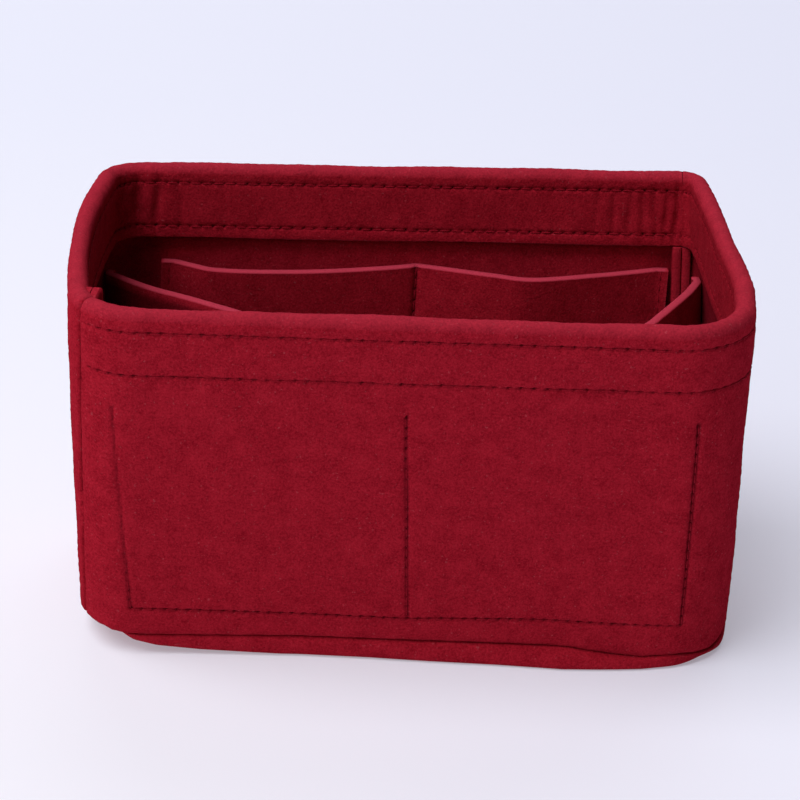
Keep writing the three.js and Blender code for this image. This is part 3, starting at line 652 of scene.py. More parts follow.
def cloth_mesh(bm, rings, cut, painted_shade=0.0, ring_closed=False, guide=0):
    """A closed section carried through rings of points, with flat ends or closed on itself.
    cut is how much of a cut edge each point is, or of the painted highlight on a rolled rim, and the
    share after it how much painted shade darkens it in seams, needle holes and shaded hollows. The
    cloth's own coordinates are in metres, measured along the section's guide point."""
    count, sides = rings.shape[:2]
    cloth = bm.loops.layers.uv.verify()
    cut_layer = bm.verts.layers.float.new("cut")
    painted_shade_layer = bm.verts.layers.float.new("painted_shade")
    made = bmesh.ops.create_grid(
        bm, x_segments=sides - 1, y_segments=count - 1, size=0.5, calc_uvs=True
    )["verts"]
    made.sort(key=lambda vertex: (round(vertex.co.y * 2 * count), vertex.co.x))
    along, across = steps_along(rings[:, guide]), steps_along(rings[count // 2])
    where = {}
    # Here depths are each point's painted shade.
    cuts, depths = (np.broadcast_to(values, (count, sides)).ravel() for values in (cut, painted_shade))
    for index, (vertex, place) in enumerate(zip(made, (rings * MM).reshape(-1, 3))):
        vertex.co = place
        vertex[cut_layer], vertex[painted_shade_layer] = cuts[index], depths[index]
        where[vertex] = (along[index // sides], across[index % sides])
    for face in bm.faces:
        face.smooth = True
        for loop in face.loops:
            loop[cloth].uv = where[loop.vert]
    if not ring_closed:
        for vertex in made[:sides] + made[-sides:]:
            vertex[cut_layer] = END_CUT
    bmesh.ops.remove_doubles(bm, verts=made, dist=1e-6)
    for edge in bm.edges:
        edge.smooth = not edge.is_boundary
    if not ring_closed:
        fill_rims(bm, False, lambda spot: (spot.x + spot.y, spot.z))


def placed(name, data):
    """A new object in the scene."""
    thing = bpy.data.objects.new(name, data)
    bpy.context.scene.collection.objects.link(thing)
    return thing


def finished(name, bm, settled=True):
    """A piece from a finished bmesh, with its faces turned outward."""
    bmesh.ops.recalc_face_normals(bm, faces=bm.faces)
    mesh = bpy.data.meshes.new(name)
    bm.to_mesh(mesh)
    bm.free()
    if settled:
        points = np.empty(3 * len(mesh.vertices))
        mesh.vertices.foreach_get("co", points)
        mesh.vertices.foreach_set("co", (settle(points.reshape(-1, 3) / MM) * MM).ravel())
    return placed(name, mesh)


def dress(piece, material, node):
    """Gives a piece its material and its place in the frame."""
    piece.data.materials.append(material)
    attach(piece, "root")
    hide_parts(node)
    return piece


def rough(points, amount):
    """The felt's fine unevenness in millimetres, from the points' places."""
    x, y, z = np.moveaxis(points, -1, 0)
    along = np.sin(x / 0.83 + 1.9 * np.sin(z / 2.3 + y / 1.9))
    upward = np.sin(z / 0.71 + 2.1 * np.sin(x / 1.7 - y / 2.9))
    across = np.sin(y / 0.77 + 1.7 * np.sin(z / 1.3)) * np.sin(x / 2.1 + z / 1.9)
    return amount * (along * upward + 0.7 * across)


def rolling(points, amount):
    """The felt's slow waviness in millimetres, from the points' places."""
    x, y, z = np.moveaxis(points, -1, 0)
    wave = np.sin(x / 17.0 + 0.6 * np.sin(z / 13.0)) * np.cos(z / 21.0 + y / 15.0)
    wave = wave + 0.6 * np.sin(x / 7.3 - z / 11.0 + 1.3) * np.sin(y / 9.0 + z / 8.1)
    return amount * wave


def stitch_pitch():
    """The length of a stitch in millimetres."""
    return bpy.context.scene.stitch_look.length / MM


def fine_heights(low, high, step, rows):
    """Heights from low to high, closer together beside rows of stitches."""
    plain = np.arange(low, high, step)
    offsets = np.array([-2.6, -1.8, -1.2, -0.75, -0.35, 0, 0.35, 0.75, 1.2, 1.8, 2.6])
    close = np.concatenate([row + offsets for row in rows])
    plain = plain[[abs(close - h).min() > 0.55 * step for h in plain]]
    merged = np.unique(np.round(np.concatenate([plain, close, [low, high]]), 4))
    merged = merged[(merged >= low) & (merged <= high)]
    keep = np.concatenate([[True], np.diff(merged) > 0.2])
    return merged[keep]


def allowance_edge(top, foot):
    """The cut edge of an allowance from its upper to its lower side, as in wall_section."""
    near = BASE_ALLOWANCE - EDGE_ROUND
    return [
        (near, top, 0.3), (BASE_ALLOWANCE, top - EDGE_ROUND, 1),
        (BASE_ALLOWANCE, foot + EDGE_ROUND, 1), (near, foot, 0.3),
    ]


def wall_section(pitch):
    """The wall's section as depths, heights and cut shares: up the outside, over the rolled
    rim, down the folded hem, up the slit behind it, down the wall and round its allowance."""
    foot = [(nose(NOSE, rise), WALL_FOOT + rise, 0) for rise in NOSE_STEPS]
    step = (POCKET_TOP - POCKET_SEAM) / round((POCKET_TOP - POCKET_SEAM) / pitch) / 4
    low = fine_heights(WALL_FOOT + 3, POCKET_SEAM + 2.6, 1.3, [POCKET_SEAM])
    ladder = POCKET_SEAM + step * np.arange(3, int((POCKET_TOP - POCKET_SEAM) / step + 1.5))
    hem = fine_heights(POCKET_TOP + 2, ROLL_HEIGHT, 2.0, [LOWER_ROW, UPPER_ROW])
    outside = [(0, h, 0) for h in np.concatenate([low, ladder, hem])]
    # Across the roll the cut share rises towards its top, which paints a highlight along the rim.
    roll = [
        (ROLL * (1 - math.cos(a)), ROLL_HEIGHT + ROLL * math.sin(a), 0.34 * math.sin(a) ** 0.7)
        for a in np.linspace(0, math.pi, 15)[1:-1]
    ]
    inner = fine_heights(HEM_FOOT + 0.5, ROLL_HEIGHT, 2.0, [LOWER_ROW, UPPER_ROW])[::-1]
    hem_inside = [(HEM, h, 0) for h in inner]
    edge = [
        (HEM - 0.12, HEM_FOOT + 0.12, 1), (HEM - 0.5, HEM_FOOT, 1), (HEM - FELT / 2, HEM_FOOT - 0.05, 1),
        (HEM - FELT + EDGE_ROUND, HEM_FOOT, 1), (HEM - FELT, HEM_FOOT + EDGE_ROUND, 0.4),
    ]
    behind = (HEM_FOOT + 6, HEM_FOOT + 14, ROLL_HEIGHT)
    slit = [(HEM - FELT, h, 0) for h in behind]
    slit += [(FELT, h, 0) for h in (*behind[::-1], HEM_FOOT + EDGE_ROUND)]
    lining = [(FELT, h, 0) for h in np.arange(HEM_FOOT - 1.5, ALLOWANCE_TOP + 1, -3.6)]
    allowance = [(FELT, ALLOWANCE_TOP + 0.8, 0), (FELT + 0.8, ALLOWANCE_TOP, 0)]
    allowance += allowance_edge(ALLOWANCE_TOP, WALL_FOOT)
    section = foot + outside + roll + hem_inside + edge + slit + lining + allowance + foot[:1]
    return np.array(section), len(foot + outside + roll)


def columns_between(start, end, pitch):
    """Rim distances of a panel's columns: five to a stitch, and closer beside its two ends."""
    holes = hem_stations(start + PANEL_END, end - PANEL_END, pitch)
    inner = np.concatenate([np.linspace(a, b, 5, endpoint=False) for a, b in zip(holes[:-1], holes[1:])])
    turn = np.array([0.02, 0.15, 0.35, 0.6, 0.9, 1.25, 1.6])
    return np.concatenate([start + turn, inner, [end - PANEL_END], (end - turn)[::-1]])


def wall_rings(knots, pitch, dips):
    """A wall panel's rings of points, one for each column. The dips say how far its face sinks
    at its two ends."""
    start, end = knots[0][0], knots[-1][0]
    rims = columns_between(start, end, pitch)
    bases = base_distances(knots, rims)
    section, turn = wall_section(pitch)
    depths, heights = section[:, 0], section[:, 1]
    dip = nose(dips[0], rims - start) + nose(dips[1], end - rims)
    outer = np.arange(len(section)) < turn
    outer[-1] = True
    fade = np.where(outer, 1 - depths / HEM, 0)
    over_rim = np.where(outer & (heights > ROLL_HEIGHT), 0.5, 0)
    all_depths = depths[None] + dip[:, None] * fade[None]
    all_heights = heights[None] - dip[:, None] * over_rim[None]
    rings = wall_points(rims, bases, all_depths, all_heights)
    # Painted shade along the corner seams at the panel's two ends, fainter towards the foot.
    aside = np.minimum(rims - start, end - rims)
    tall = np.maximum(ramp(heights, 25, 95), 0.15)
    groove = SEAM_PAINTED_SHADE * np.exp(-((aside / 0.5) ** 2))[:, None] * (outer * tall)[None]
    return rings, section[:, 2], hem_creases(rings, section), groove


def hem_creases(rings, section):
    """How deep the folded hem is creased inside, where the felt bends round a corner or is
    gathered by its stitches."""
    inside = (section[:, 0] > FELT + HEM_SLIT + 0.1) & (section[:, 1] > HEM_FOOT - 1)
    x, y, z = np.moveaxis(rings, -1, 0)
    depth = np.zeros(rings.shape[:2])
    random.seed(3)
    for where, width, deep in CREASES:
        slant, turn, wild = random.uniform(-0.12, 0.12), random.uniform(0, 6), random.uniform(0.1, 0.5)
        run = where + slant * (z - 136) + 0.4 * np.sin(z / 4 + turn)
        depth += deep * np.exp(-(((x - run) / width) ** 2)) * (1 - wild * np.sin(z / 5 + turn))
    tall = hat(z, (HEM_FOOT, LOWER_ROW, LOWER_ROW + 6, UPPER_ROW - 2, UPPER_ROW + 4), (0.2, 0.5, 1, 1, 0.2))
    return depth * tall * (y > 40) * inside[None]


def draw_in(rings, names, extra=0.0):
    """Draws the felt in under the named rows of stitches, and moves it out by the extra. Gives
    the moved rings and how much painted shade the stitches put on each point, from 0 to 1."""
    seams = all_seams(stitch_pitch())
    normals = face_normals(rings)
    flat = rings.reshape(-1, 3)
    drawn, dark = np.zeros(len(flat)), np.zeros(len(flat))
    for name in names:
        deeper, darker = seams[name].press(flat, bpy.context.scene.stitch_look)
        drawn, dark = np.maximum(drawn, deeper), np.maximum(dark, darker)
    drawn, dark = drawn.reshape(rings.shape[:2]), dark.reshape(rings.shape[:2])
    return rings + (extra - drawn)[..., None] * normals, dark


def wall_wave(rings):
    """The felt's waviness, which fades out at the base seam, and its fine unevenness."""
    z = rings[..., 2]
    wave = rolling(rings, bpy.context.scene.felt_look.waviness / MM) * ramp(z, 14, 24)
    return wave + rough(rings, ROUGHNESS)


def allowance_rings(seam, run, side, layer):
    """A corner allowance as rings of a rounded oblong section, from its foot up."""
    rings = []
    heights, reaches, layers = np.array(allowance_levels(layer)).T
    wanted = np.unique(np.concatenate([heights, np.arange(heights[0], heights[-1], 2.5)]))
    reaches, layers = (np.interp(wanted, heights, values) for values in (reaches, layers))
    aside = -leftward(run) * side
    for height, reach, thickness in zip(wanted, reaches, layers):
        root = allowance_root(seam, height)
        near, far, soft = SEWN_GAP / 2, SEWN_GAP / 2 + thickness, ALLOWANCE_ROUND
        outwards = (0, reach / 3, reach * 2 / 3, reach - soft)
        outline = [(out, near) for out in outwards]
        outline += [(reach, near + soft), (reach, (near + far) / 2), (reach, far - soft)]
        outline += [(out, far) for out in outwards[::-1]] + [(0, near)]
        rings.append([(*(root + run * u + aside * v), height) for u, v in outline])
    return np.array(rings), np.repeat([0, 0.1, 0], [4, 3, 5])


def wall_piece(name, knots, dips, ends):
    """One bent wall panel with its hem and the allowances at its two ends."""
    pitch = stitch_pitch()
    rings, cut, creases, groove = wall_rings(knots, pitch, dips)
    rings, painted_shade = draw_in(rings, WALL_ROWS, wall_wave(rings) - creases)
    x, z = rings[..., 0], rings[..., 2]
    # Painted shade low on the lining inside the end pockets, joined with the painted shade of the stitches
    # and of the corner seams.
    lining = (wall_section(pitch)[0][:, 0] > FELT - 0.1) * (1 - ramp(z, POCKET_TOP + 4, POCKET_TOP + 10))
    deep = LINING_PAINTED_SHADE * hat(x, (-100, -88, 92, 104), (1, 0, 0, 1)) * lining
    painted_shade = np.maximum(np.maximum(painted_shade, groove), deep)
    bm = bmesh.new()
    cloth_mesh(bm, rings, cut, painted_shade)
    for end in ends:
        part = bmesh.new()
        cloth_mesh(part, *allowance_rings(*end))
        join_into(bm, part)
    return finished(name, bm)


def join_into(bm, part):
    """Adds one bmesh to another as a shell of its own."""
    bmesh.ops.recalc_face_normals(part, faces=part.faces)
    mesh = bpy.data.meshes.new("shell")
    part.to_mesh(mesh)
    part.free()
    bm.from_mesh(mesh)
    bpy.data.meshes.remove(mesh)


def pocket_rings(pocket):
    """A pocket panel as rings of its section: up the face towards the wall, over the top
    edge, down the inner face and under the lower edge."""
    margin, fold = POCKET_MARGIN / pocket.span, POCKET_FOLD / pocket.span
    along = np.linspace(0, 1, int(pocket.span))
    reach = np.interp(along, pocket.profile[:, 0], pocket.profile[:, 1])
    before, after = [-margin, -0.5 * margin, 0], [1, 1 + 0.5 * margin, 1 + margin]
    shares = np.concatenate([before, fold + along * (1 - 2 * fold), after])
    reach = np.concatenate([[0, 0, 0], reach, [0, 0, 0]])
    open_height = POCKET_SEAM + POCKET_FOLD
    rows = np.concatenate([
        POCKET_SEAM + np.array([-3, -2, -1.2, -0.6, 0, 0.6, 1.2]),
        np.linspace(open_height, POCKET_TOP - 0.25, 56), [POCKET_TOP],
    ])
    slack = ramp(rows, open_height, POCKET_TOP) ** POCKET_SLACK
    rims, bases = pocket.stations(shares)
    middle = wall_points(rims, bases, [[POCKET_DEPTH]], rows[None])
    middle[..., :2] += pocket.inward * (reach[:, None] * slack[None])[..., None]
    headings = np.gradient(middle[..., :2], axis=0)
    headings /= np.linalg.norm(headings, axis=2, keepdims=True)
    across = np.zeros_like(middle)
    across[..., :2] = leftward(headings)
    half = FELT / 2
    wall_side, inner_side = middle - across * half, middle + across * half

    def round_edge(row, side):
        """Three points round the top edge or the lower one, from one face to the other."""
        spot, aside, lift = middle[:, row], across[:, row] * half * 0.75, np.array([0, 0, 0.35])
        return [spot + side * (share * aside + up * lift) for share, up in ((-1, 1), (0, 1.2), (1, 1))]

    over, under = round_edge(slice(-1, None), 1), round_edge(slice(0, 1), -1)
    rings = np.concatenate([wall_side, *over, inner_side[:, ::-1], *under, wall_side[:, :1]], axis=1)
    n = len(rows)
    cut = np.concatenate([np.zeros(n), [1, 1, 1], np.zeros(n), [1, 1, 1], [0]])
    cut[n - 1], cut[n + 3] = 0.7, 0.3
    return rings, cut


def pocket_piece(name):
    """One pocket panel. An end pocket's panel has painted shade on its far side, under its top edge."""
    rings, cut = pocket_rings(POCKETS[name])
    rows = [f"{name}_pocket_bobbin_thread"]
    if name in DIVIDED:
        rows.append(f"{name}_divider_bobbin_thread")
    rings, painted_shade = draw_in(rings, rows)
    if name not in DIVIDED:
        # Painted shade on the far side of an end pocket's panel, under its top edge.
        behind = np.arange(len(cut)) < np.argmax(cut) - 1
        under = 1 - ramp(rings[..., 2], POCKET_TOP - 3.5, POCKET_TOP - 0.5)
        painted_shade = np.maximum(painted_shade, POCKET_PAINTED_SHADE * behind * under)
    bm = bmesh.new()
    cloth_mesh(bm, rings, cut, painted_shade)
    return finished(f"{name}_pocket_felt", bm)


def towards_middle(edge, shares):
    """Rings between a ring of the base and the line along its middle."""
    spine = edge.copy()
    spine[..., 0] = np.clip(edge[..., 0], BASE_MIDDLE - BASE_SPINE, BASE_MIDDLE + BASE_SPINE)
    spine[..., 1] = 0
    shares = np.array(shares)[None, :, None]
    return edge * (1 - shares) + spine * shares


def base_piece():
    """The base: flat felt turned up round its edge, with its allowance turned in on top."""
    points, headings = BASE.at(np.linspace(0, BASE.around, BASE_COLUMNS))
    section = [(11, 0, 0), (7, 0, 0)]
    section += [
        (BASE_EDGE * (1 - math.sin(a)), BASE_EDGE * (1 - math.cos(a)), 0)
        for a in np.linspace(0, math.pi / 2, 9)
    ]
    outermost = len(section) - 1
    section += [(nose(NOSE, drop), BASE_TOP - drop, 0) for drop in NOSE_STEPS[::-1]]
    section += [(4.5, BASE_TOP, 0), *allowance_edge(BASE_TOP, BASE_TOP - FELT)]
    section += [(FELT, BASE_TOP - FELT, 0), (FELT, FELT, 0), (7, FELT, 0), (11, FELT, 0)]
    section = np.array(section)
    level = points[:, None] + leftward(headings)[:, None] * section[None, :, :1]
    heights = np.broadcast_to(section[None, :, 1:2], level.shape[:2] + (1,))
    rings = np.concatenate([level, heights], axis=2)
    shares = (0.97, 0.75, 0.5, 0.25)
    under, over = towards_middle(rings[:, :1], shares), towards_middle(rings[:, -1:], shares[::-1])
    rings = np.concatenate([under, rings, over], axis=1)
    cut, guide = np.pad(section[:, 2], len(shares)), len(shares) + outermost
    bm = bmesh.new()
    cloth_mesh(bm, rings, cut, ring_closed=True, guide=guide)
    fill_rims(bm, True, lambda spot: (spot.x, spot.y))
    return finished("base_felt", bm)


def stitch_row(name, seam):
    """A row of stitches: a short rounded thread from hole to hole, sunk at its ends."""
    look = bpy.context.scene.stitch_look
    radius, sink = look.thread_radius, look.groove_depth
    random.seed(name)
    bm = bmesh.new()
    bm.loops.layers.uv.verify()
    for index, (start, end) in enumerate(zip(seam.holes[:-1], seam.holes[1:])):
        run = Vector((end - start) * MM)
        out = Vector((seam.outward[index] + seam.outward[index + 1]) / 2).normalized()
        along = run.normalized()
        across = out.cross(along).normalized()
        half = run.length / 2 * random.uniform(*STITCH_SHARE)
        lean = random.uniform(-STITCH_LEAN, STITCH_LEAN)
        hard, faint = seam.pull[index] > 0.5, seam.shade[index] < 0.3
        low = sink * random.uniform(0.75, 1.0) + TIGHT_SINK * MM * hard + FAINT_SINK * MM * faint
        middle = Vector((start + end) / 2 * MM)
        made = bmesh.ops.create_uvsphere(bm, u_segments=6, v_segments=7, radius=1.0, calc_uvs=True)["verts"]
        for vertex in made:
            share = vertex.co.z
            fat = radius if abs(share) < 0.8 else radius * 0.8
            ring = Vector((vertex.co.x, vertex.co.y)).length
            scale = fat / ring if ring > 1e-4 else 0.0
            sideways = across * (vertex.co.x * scale + lean * radius * share)
            upward = out * (vertex.co.y * scale - low * (0.35 + 0.95 * share**4) + radius * 0.35)
            vertex.co = middle + along * (half * share) + sideways + upward
    for face in bm.faces:
        face.smooth = True
    return finished(name.replace("_thread", "_stitches"), bm)


# Materials


class Signal:
    """A number or colour inside a material. Arithmetic with it adds Math nodes."""

    def __init__(self, finish, socket):
        self.finish, self.socket = finish, socket

    def math(self, operation, *values, clamp=False):
        settings = {"operation": operation, "use_clamp": clamp}
        return self.finish.node("ShaderNodeMath", settings, dict(enumerate(values)))

    def __add__(self, other):
        return self.math("ADD", self, other)

    def __mul__(self, other):
        return self.math("MULTIPLY", self, other)

    def __sub__(self, other):
        return self.math("SUBTRACT", self, other)

    def __rsub__(self, other):
        return self.math("SUBTRACT", other, self)

    __radd__, __rmul__ = __add__, __mul__

    def between(self, low, high):
        """0 below low, 1 above high and even between them."""
        return self.math("MULTIPLY", self - low, 1 / (high - low), clamp=True)


class Finish:
    """A material, and the one way in which nodes are added to it."""

    def __init__(self, name):
        self.material = bpy.data.materials.new(name)
        self.material.use_nodes = True
        self.tree = self.material.node_tree
        self.shader = self.tree.nodes["Principled BSDF"]

    def node(self, kind, settings=None, inputs=None, output=0):
        node = self.tree.nodes.new(kind)
        for key, value in (settings or {}).items():
            setattr(node, key, value)
        for key, value in (inputs or {}).items():
            self.set(node.inputs[key], value)
        return Signal(self, node.outputs[output])

    def set(self, socket, value):
        if isinstance(value, Signal):
            self.tree.links.new(value.socket, socket)
        else:
            socket.default_value = (*value, 1.0) if socket.type == "RGBA" else value

    def mix(self, share, first, second):
        settings = {"data_type": "RGBA"}
        return self.node("ShaderNodeMix", settings, {0: share, 6: first, 7: second}, 2)

    def spot(self):
        """The place on the piece, in metres."""
        return self.node("ShaderNodeTexCoord", output=3)

    def attribute(self, name):
        return self.node("ShaderNodeAttribute", {"attribute_name": name}, output=2)

    def stretched(self, place, scale, turn):
        inputs = {"Vector": place, "Rotation": (0, 0, turn), "Scale": scale}
        return self.node("ShaderNodeMapping", {}, inputs)

    def noise(self, place, scale, detail=2.0, rough=0.6):
        inputs = {"Vector": place, "Scale": scale, "Detail": detail, "Roughness": rough}
        return self.node("ShaderNodeTexNoise", {}, inputs)

    def bump(self, height, strength, distance):
        inputs = {"Height": height, "Strength": strength, "Distance": distance}
        return self.node("ShaderNodeBump", {}, inputs)

    def surface(self, inputs):
        """Gives the material's shader its inputs."""
        for key, value in inputs.items():
            self.set(self.shader.inputs[key], value)


# The felt's layers of fibres: fineness along and across the cloth, and turn
FIBRE_LAYERS = (((480, 2200, 1), 0.14), ((520, 2200, 1), -0.55), ((600, 2500, 1), 1.15))


def felt_material():
    """Pressed felt: mottled, with fine pale fibres lying mostly along the cloth. Its cut edges are paler, a
    painted highlight runs along the rolled rims, and painted shade darkens seams, needle holes and shaded
    hollows.
    """
    look = bpy.context.scene.felt_look
    finish = Finish("red_felt")
    cloth = finish.node("ShaderNodeUVMap", {"uv_map": "UVMap"})
    spot = finish.spot()
    patches, grain = finish.noise(spot, 140, 3.0), finish.noise(spot, 1150)
    fine = finish.noise(spot, 1900, 3.0, 0.7)
    fibres, crossed, steep = [
        finish.noise(finish.stretched(cloth, scale, turn), 1.0) for scale, turn in FIBRE_LAYERS
    ]
    tone = patches * 0.14 + grain * 0.24 + fine * 0.2 + fibres * 0.2 + crossed * 0.14 + steep * 0.08
    shade = finish.mix(tone.between(0.43, 0.57), look.dark_colour, look.colour)
    pale = fibres.between(0.52, 0.76) * 0.5 + crossed.between(0.53, 0.76) * 0.5
    pale = pale + steep.between(0.55, 0.8) * 0.4
    speck = finish.noise(spot, 900, 1.0, 0.5).between(0.68, 0.8)
    flecked = finish.mix(pale * look.fleck_amount + speck * 0.2, shade, look.fleck_colour)
    # Paler at cut edges, and a painted highlight along the tops of the rolled rims.
    edge = finish.attribute("cut") * look.cut_and_highlight_amount
    cut_and_highlighted = finish.mix(edge, flecked, look.cut_and_highlight_colour)
    # Painted shade from the piece's attribute, nearly black in seams, needle holes and shaded hollows.
    painted_shade_share = finish.attribute("painted_shade").between(0.1, 0.8) * look.painted_shade_amount
    nap = fine * 0.3 + fibres * 0.3 + crossed * 0.2 + steep * 0.1 + grain * 0.4
    finish.surface({
        "Base Color": finish.mix(painted_shade_share, cut_and_highlighted, look.painted_shade_colour),
        "Roughness": 0.9 + fine * 0.1,
        "Normal": finish.bump(nap, 0.8, look.nap_depth),
        "Specular IOR Level": 0.0,
        "Sheen Weight": 0.03,
        "Sheen Roughness": 0.5,
        "Sheen Tint": look.sheen_colour,
    })
    return finish.material


def thread_material():
    """Dull spun thread with a fine twist."""
    look = bpy.context.scene.stitch_look
    finish = Finish("red_thread")
    fuzz = finish.noise(finish.spot(), 2600)
    finish.surface({
        "Base Color": finish.mix(fuzz.between(0.35, 0.65), look.dark_colour, look.colour),
        "Roughness": 0.55 + fuzz * 0.2,
        "Normal": finish.bump(fuzz, 0.6, 0.0002),
        "Specular IOR Level": 0.02,
    })
    return finish.material


def shared(name, make):
    return bpy.data.materials.get(name) or make()


# Settings


def colour_setting(name, description, default):
    return FloatVectorProperty(
        name=name, description=description, default=default, subtype="COLOR", size=3, min=0, max=1,
    )


def share_setting(name, description, default):
    return FloatProperty(
        name=name, description=description, default=default, subtype="FACTOR", min=0, max=1,
    )


def length_setting(name, description, default, least=0.0):
    return FloatProperty(
        name=name, description=description, default=default, min=least, unit="LENGTH", precision=5,
    )


def strength_setting(name, description, default):
    return FloatProperty(name=name, description=description, default=default, min=0)


class FeltLook(bpy.types.PropertyGroup):
    colour: colour_setting("Felt colour", "The felt's main red", (0.395, 0.0132, 0.028))
    dark_colour: colour_setting("Deep colour", "The red in the felt's hollows", (0.21, 0.004, 0.011))
    fleck_colour: colour_setting("Fibre colour", "The palest fibres on the felt", (0.55, 0.15, 0.18))
    # Paler at the felt's cut edges, and on the rolled rims a painted highlight.
    cut_and_highlight_colour: colour_setting("Cut edge colour", "The felt's colour where it is cut", (0.56, 0.062, 0.11))
    sheen_colour: colour_setting("Nap colour", "The light that the nap catches", (0.9, 0.12, 0.2))
    # The painted shade's colour and strength, for seams, needle holes and shaded hollows.
    painted_shade_colour: colour_setting("Hollow colour", "The felt deep in its seams", (0.035, 0.001, 0.003))
    painted_shade_amount: share_setting("Hollows", "How much darker the seams' hollows are", 0.8)
    fleck_amount: share_setting("Fibres", "How strongly the pale fibres show", 0.85)
    # This also sets how strong the painted highlight on the rolled rims is.
    cut_and_highlight_amount: share_setting("Cut edges", "How much paler the cut edges are", 0.55)
    nap_depth: length_setting("Nap", "Depth of the felt's hairy surface", 0.0006)
    waviness: length_setting("Waviness", "How far the felt strays from flat", 0.00025)


class StitchLook(bpy.types.PropertyGroup):
    length: length_setting("Stitch length", "From needle hole to needle hole", 0.00445, 0.002)
    thread_radius: length_setting("Thread radius", "Half the thread's thickness", 0.00019, 0.0001)
    groove_depth: length_setting("Groove depth", "How far a row draws the felt in", 0.00038)
    groove_width: length_setting("Groove width", "Half the width of a row's groove", 0.001, 0.0003)
    hole_depth: length_setting("Hole depth", "Depth of a needle hole below the groove", 0.0009)
    hole_width: length_setting("Hole width", "Half the width of a needle hole", 0.0005, 0.0002)
    colour: colour_setting("Thread colour", "The thread's main red", (0.33, 0.009, 0.023))
    dark_colour: colour_setting("Thread's deep colour", "The red between its plies", (0.19, 0.004, 0.011))


class StageLook(bpy.types.PropertyGroup):
    near_colour: colour_setting("Floor in front", "The floor's colour in front", (0.95, 0.93, 0.98))
    far_colour: colour_setting("Floor behind", "The floor's colour behind", (0.85, 0.86, 1.0))
    # Painted shade on the floor at the right.
    right_painted_shade_colour: colour_setting("Floor at the right", "Its colour at the right", (0.76, 0.77, 0.92))
    floor_glow: share_setting("Floor's own light", "How brightly the floor shines by itself", 0.33)
    top_strength: strength_setting("Light from above", "Strength of the wide high light", 2.4)
    top_softness: FloatProperty(
        name="Softness above", description="How wide the high light is seen", default=0.7, min=0,
        max=3, subtype="ANGLE", unit="ROTATION",
    )
    side_strength: strength_setting("Light from the left", "Power of the near light at the left", 2.8)
    side_width: length_setting("Width at the left", "How wide the near light is", 0.8, 0.01)
    back_strength: strength_setting("Light from behind", "Strength of the light behind the insert", 0.75)
    room_strength: strength_setting("Room light", "Strength of the light from all round", 0.09)


# Operators


class ORGANIZER_OT_walls(bpy.types.Operator):
    """Make the two bent wall panels with their hem"""

    bl_idname = "organizer.walls"
    bl_label = "Wall Panels"

    def execute(self, context):
        felt = shared("red_felt", felt_material)
        ends = [(*FRONT_CORNER, 1, FRONT_LAYER), (*BACK_CORNER, -1, None)]
        front = wall_piece("front_and_right_felt", FRONT_KNOTS, (1.3, 0.4), ends)
        ends = [(*BACK_CORNER, 1, None), (*FRONT_CORNER, -1, HIDDEN_LAYER)]
        back = wall_piece("back_and_left_felt", BACK_KNOTS, (0.4, 1.6), ends)
        dress(front, felt, "front_and_right_wall")
        dress(back, felt, "back_and_left_wall")
        return {"FINISHED"}


class ORGANIZER_OT_base(bpy.types.Operator):
    """Make the base panel, turned up to the walls"""

    bl_idname = "organizer.base"
    bl_label = "Base Panel"

    def execute(self, context):
        piece = dress(base_piece(), shared("red_felt", felt_material), "base_panel")
        return {"FINISHED"}


class ORGANIZER_OT_pockets(bpy.types.Operator):
    """Make the four pocket panels inside"""

    bl_idname = "organizer.pockets"
    bl_label = "Pocket Panels"

    def execute(self, context):
        felt = shared("red_felt", felt_material)
        cuts = {
            "front": (0.217, 0.0197), "back": (0.208, 0.0189), "left": (0.178, 0.0109),
            "right": (0.143, 0.0098),
        }
        for name, (width, area) in cuts.items():
            piece = dress(pocket_piece(name), felt, f"{name}_pocket_panel")
        return {"FINISHED"}


class ORGANIZER_OT_stitches(bpy.types.Operator):
    """Sew every row of stitches"""

    bl_idname = "organizer.stitches"
    bl_label = "Stitches"

    def execute(self, context):
        thread = shared("red_thread", thread_material)
        for name, seam in all_seams(stitch_pitch()).items():
            dress(stitch_row(name, seam), thread, name)
        return {"FINISHED"}


class ORGANIZER_OT_stage(bpy.types.Operator):
    """Set up the floor, the lights and the camera"""

    bl_idname = "organizer.stage"
    bl_label = "Stage"

    def execute(self, context):
        make_floor()
        make_lights()
        make_camera()
        return {"FINISHED"}


# The floor's radius and the lamps' places, in metres; a sun's place only gives its direction
FLOOR_RADIUS = 6.0
ABOVE, BEHIND, LEFT = (-0.39, -0.19, 0.9), (0.15, 0.72, 0.68), (-0.7, -0.64, 0.56)
SOFTNESS_BEHIND = 1.0
ROOM_COLOUR = (0.95, 0.96, 1.0, 1)

# The photograph's camera: place in metres, degrees down, to the right and of roll, and lens
CAMERA_PLACE = (-0.03232, -0.7805, 0.48323)
CAMERA_TURNS = (27.15, 2.17, 2.53)
LENS, LENS_FRAME = 104.876, 36.0


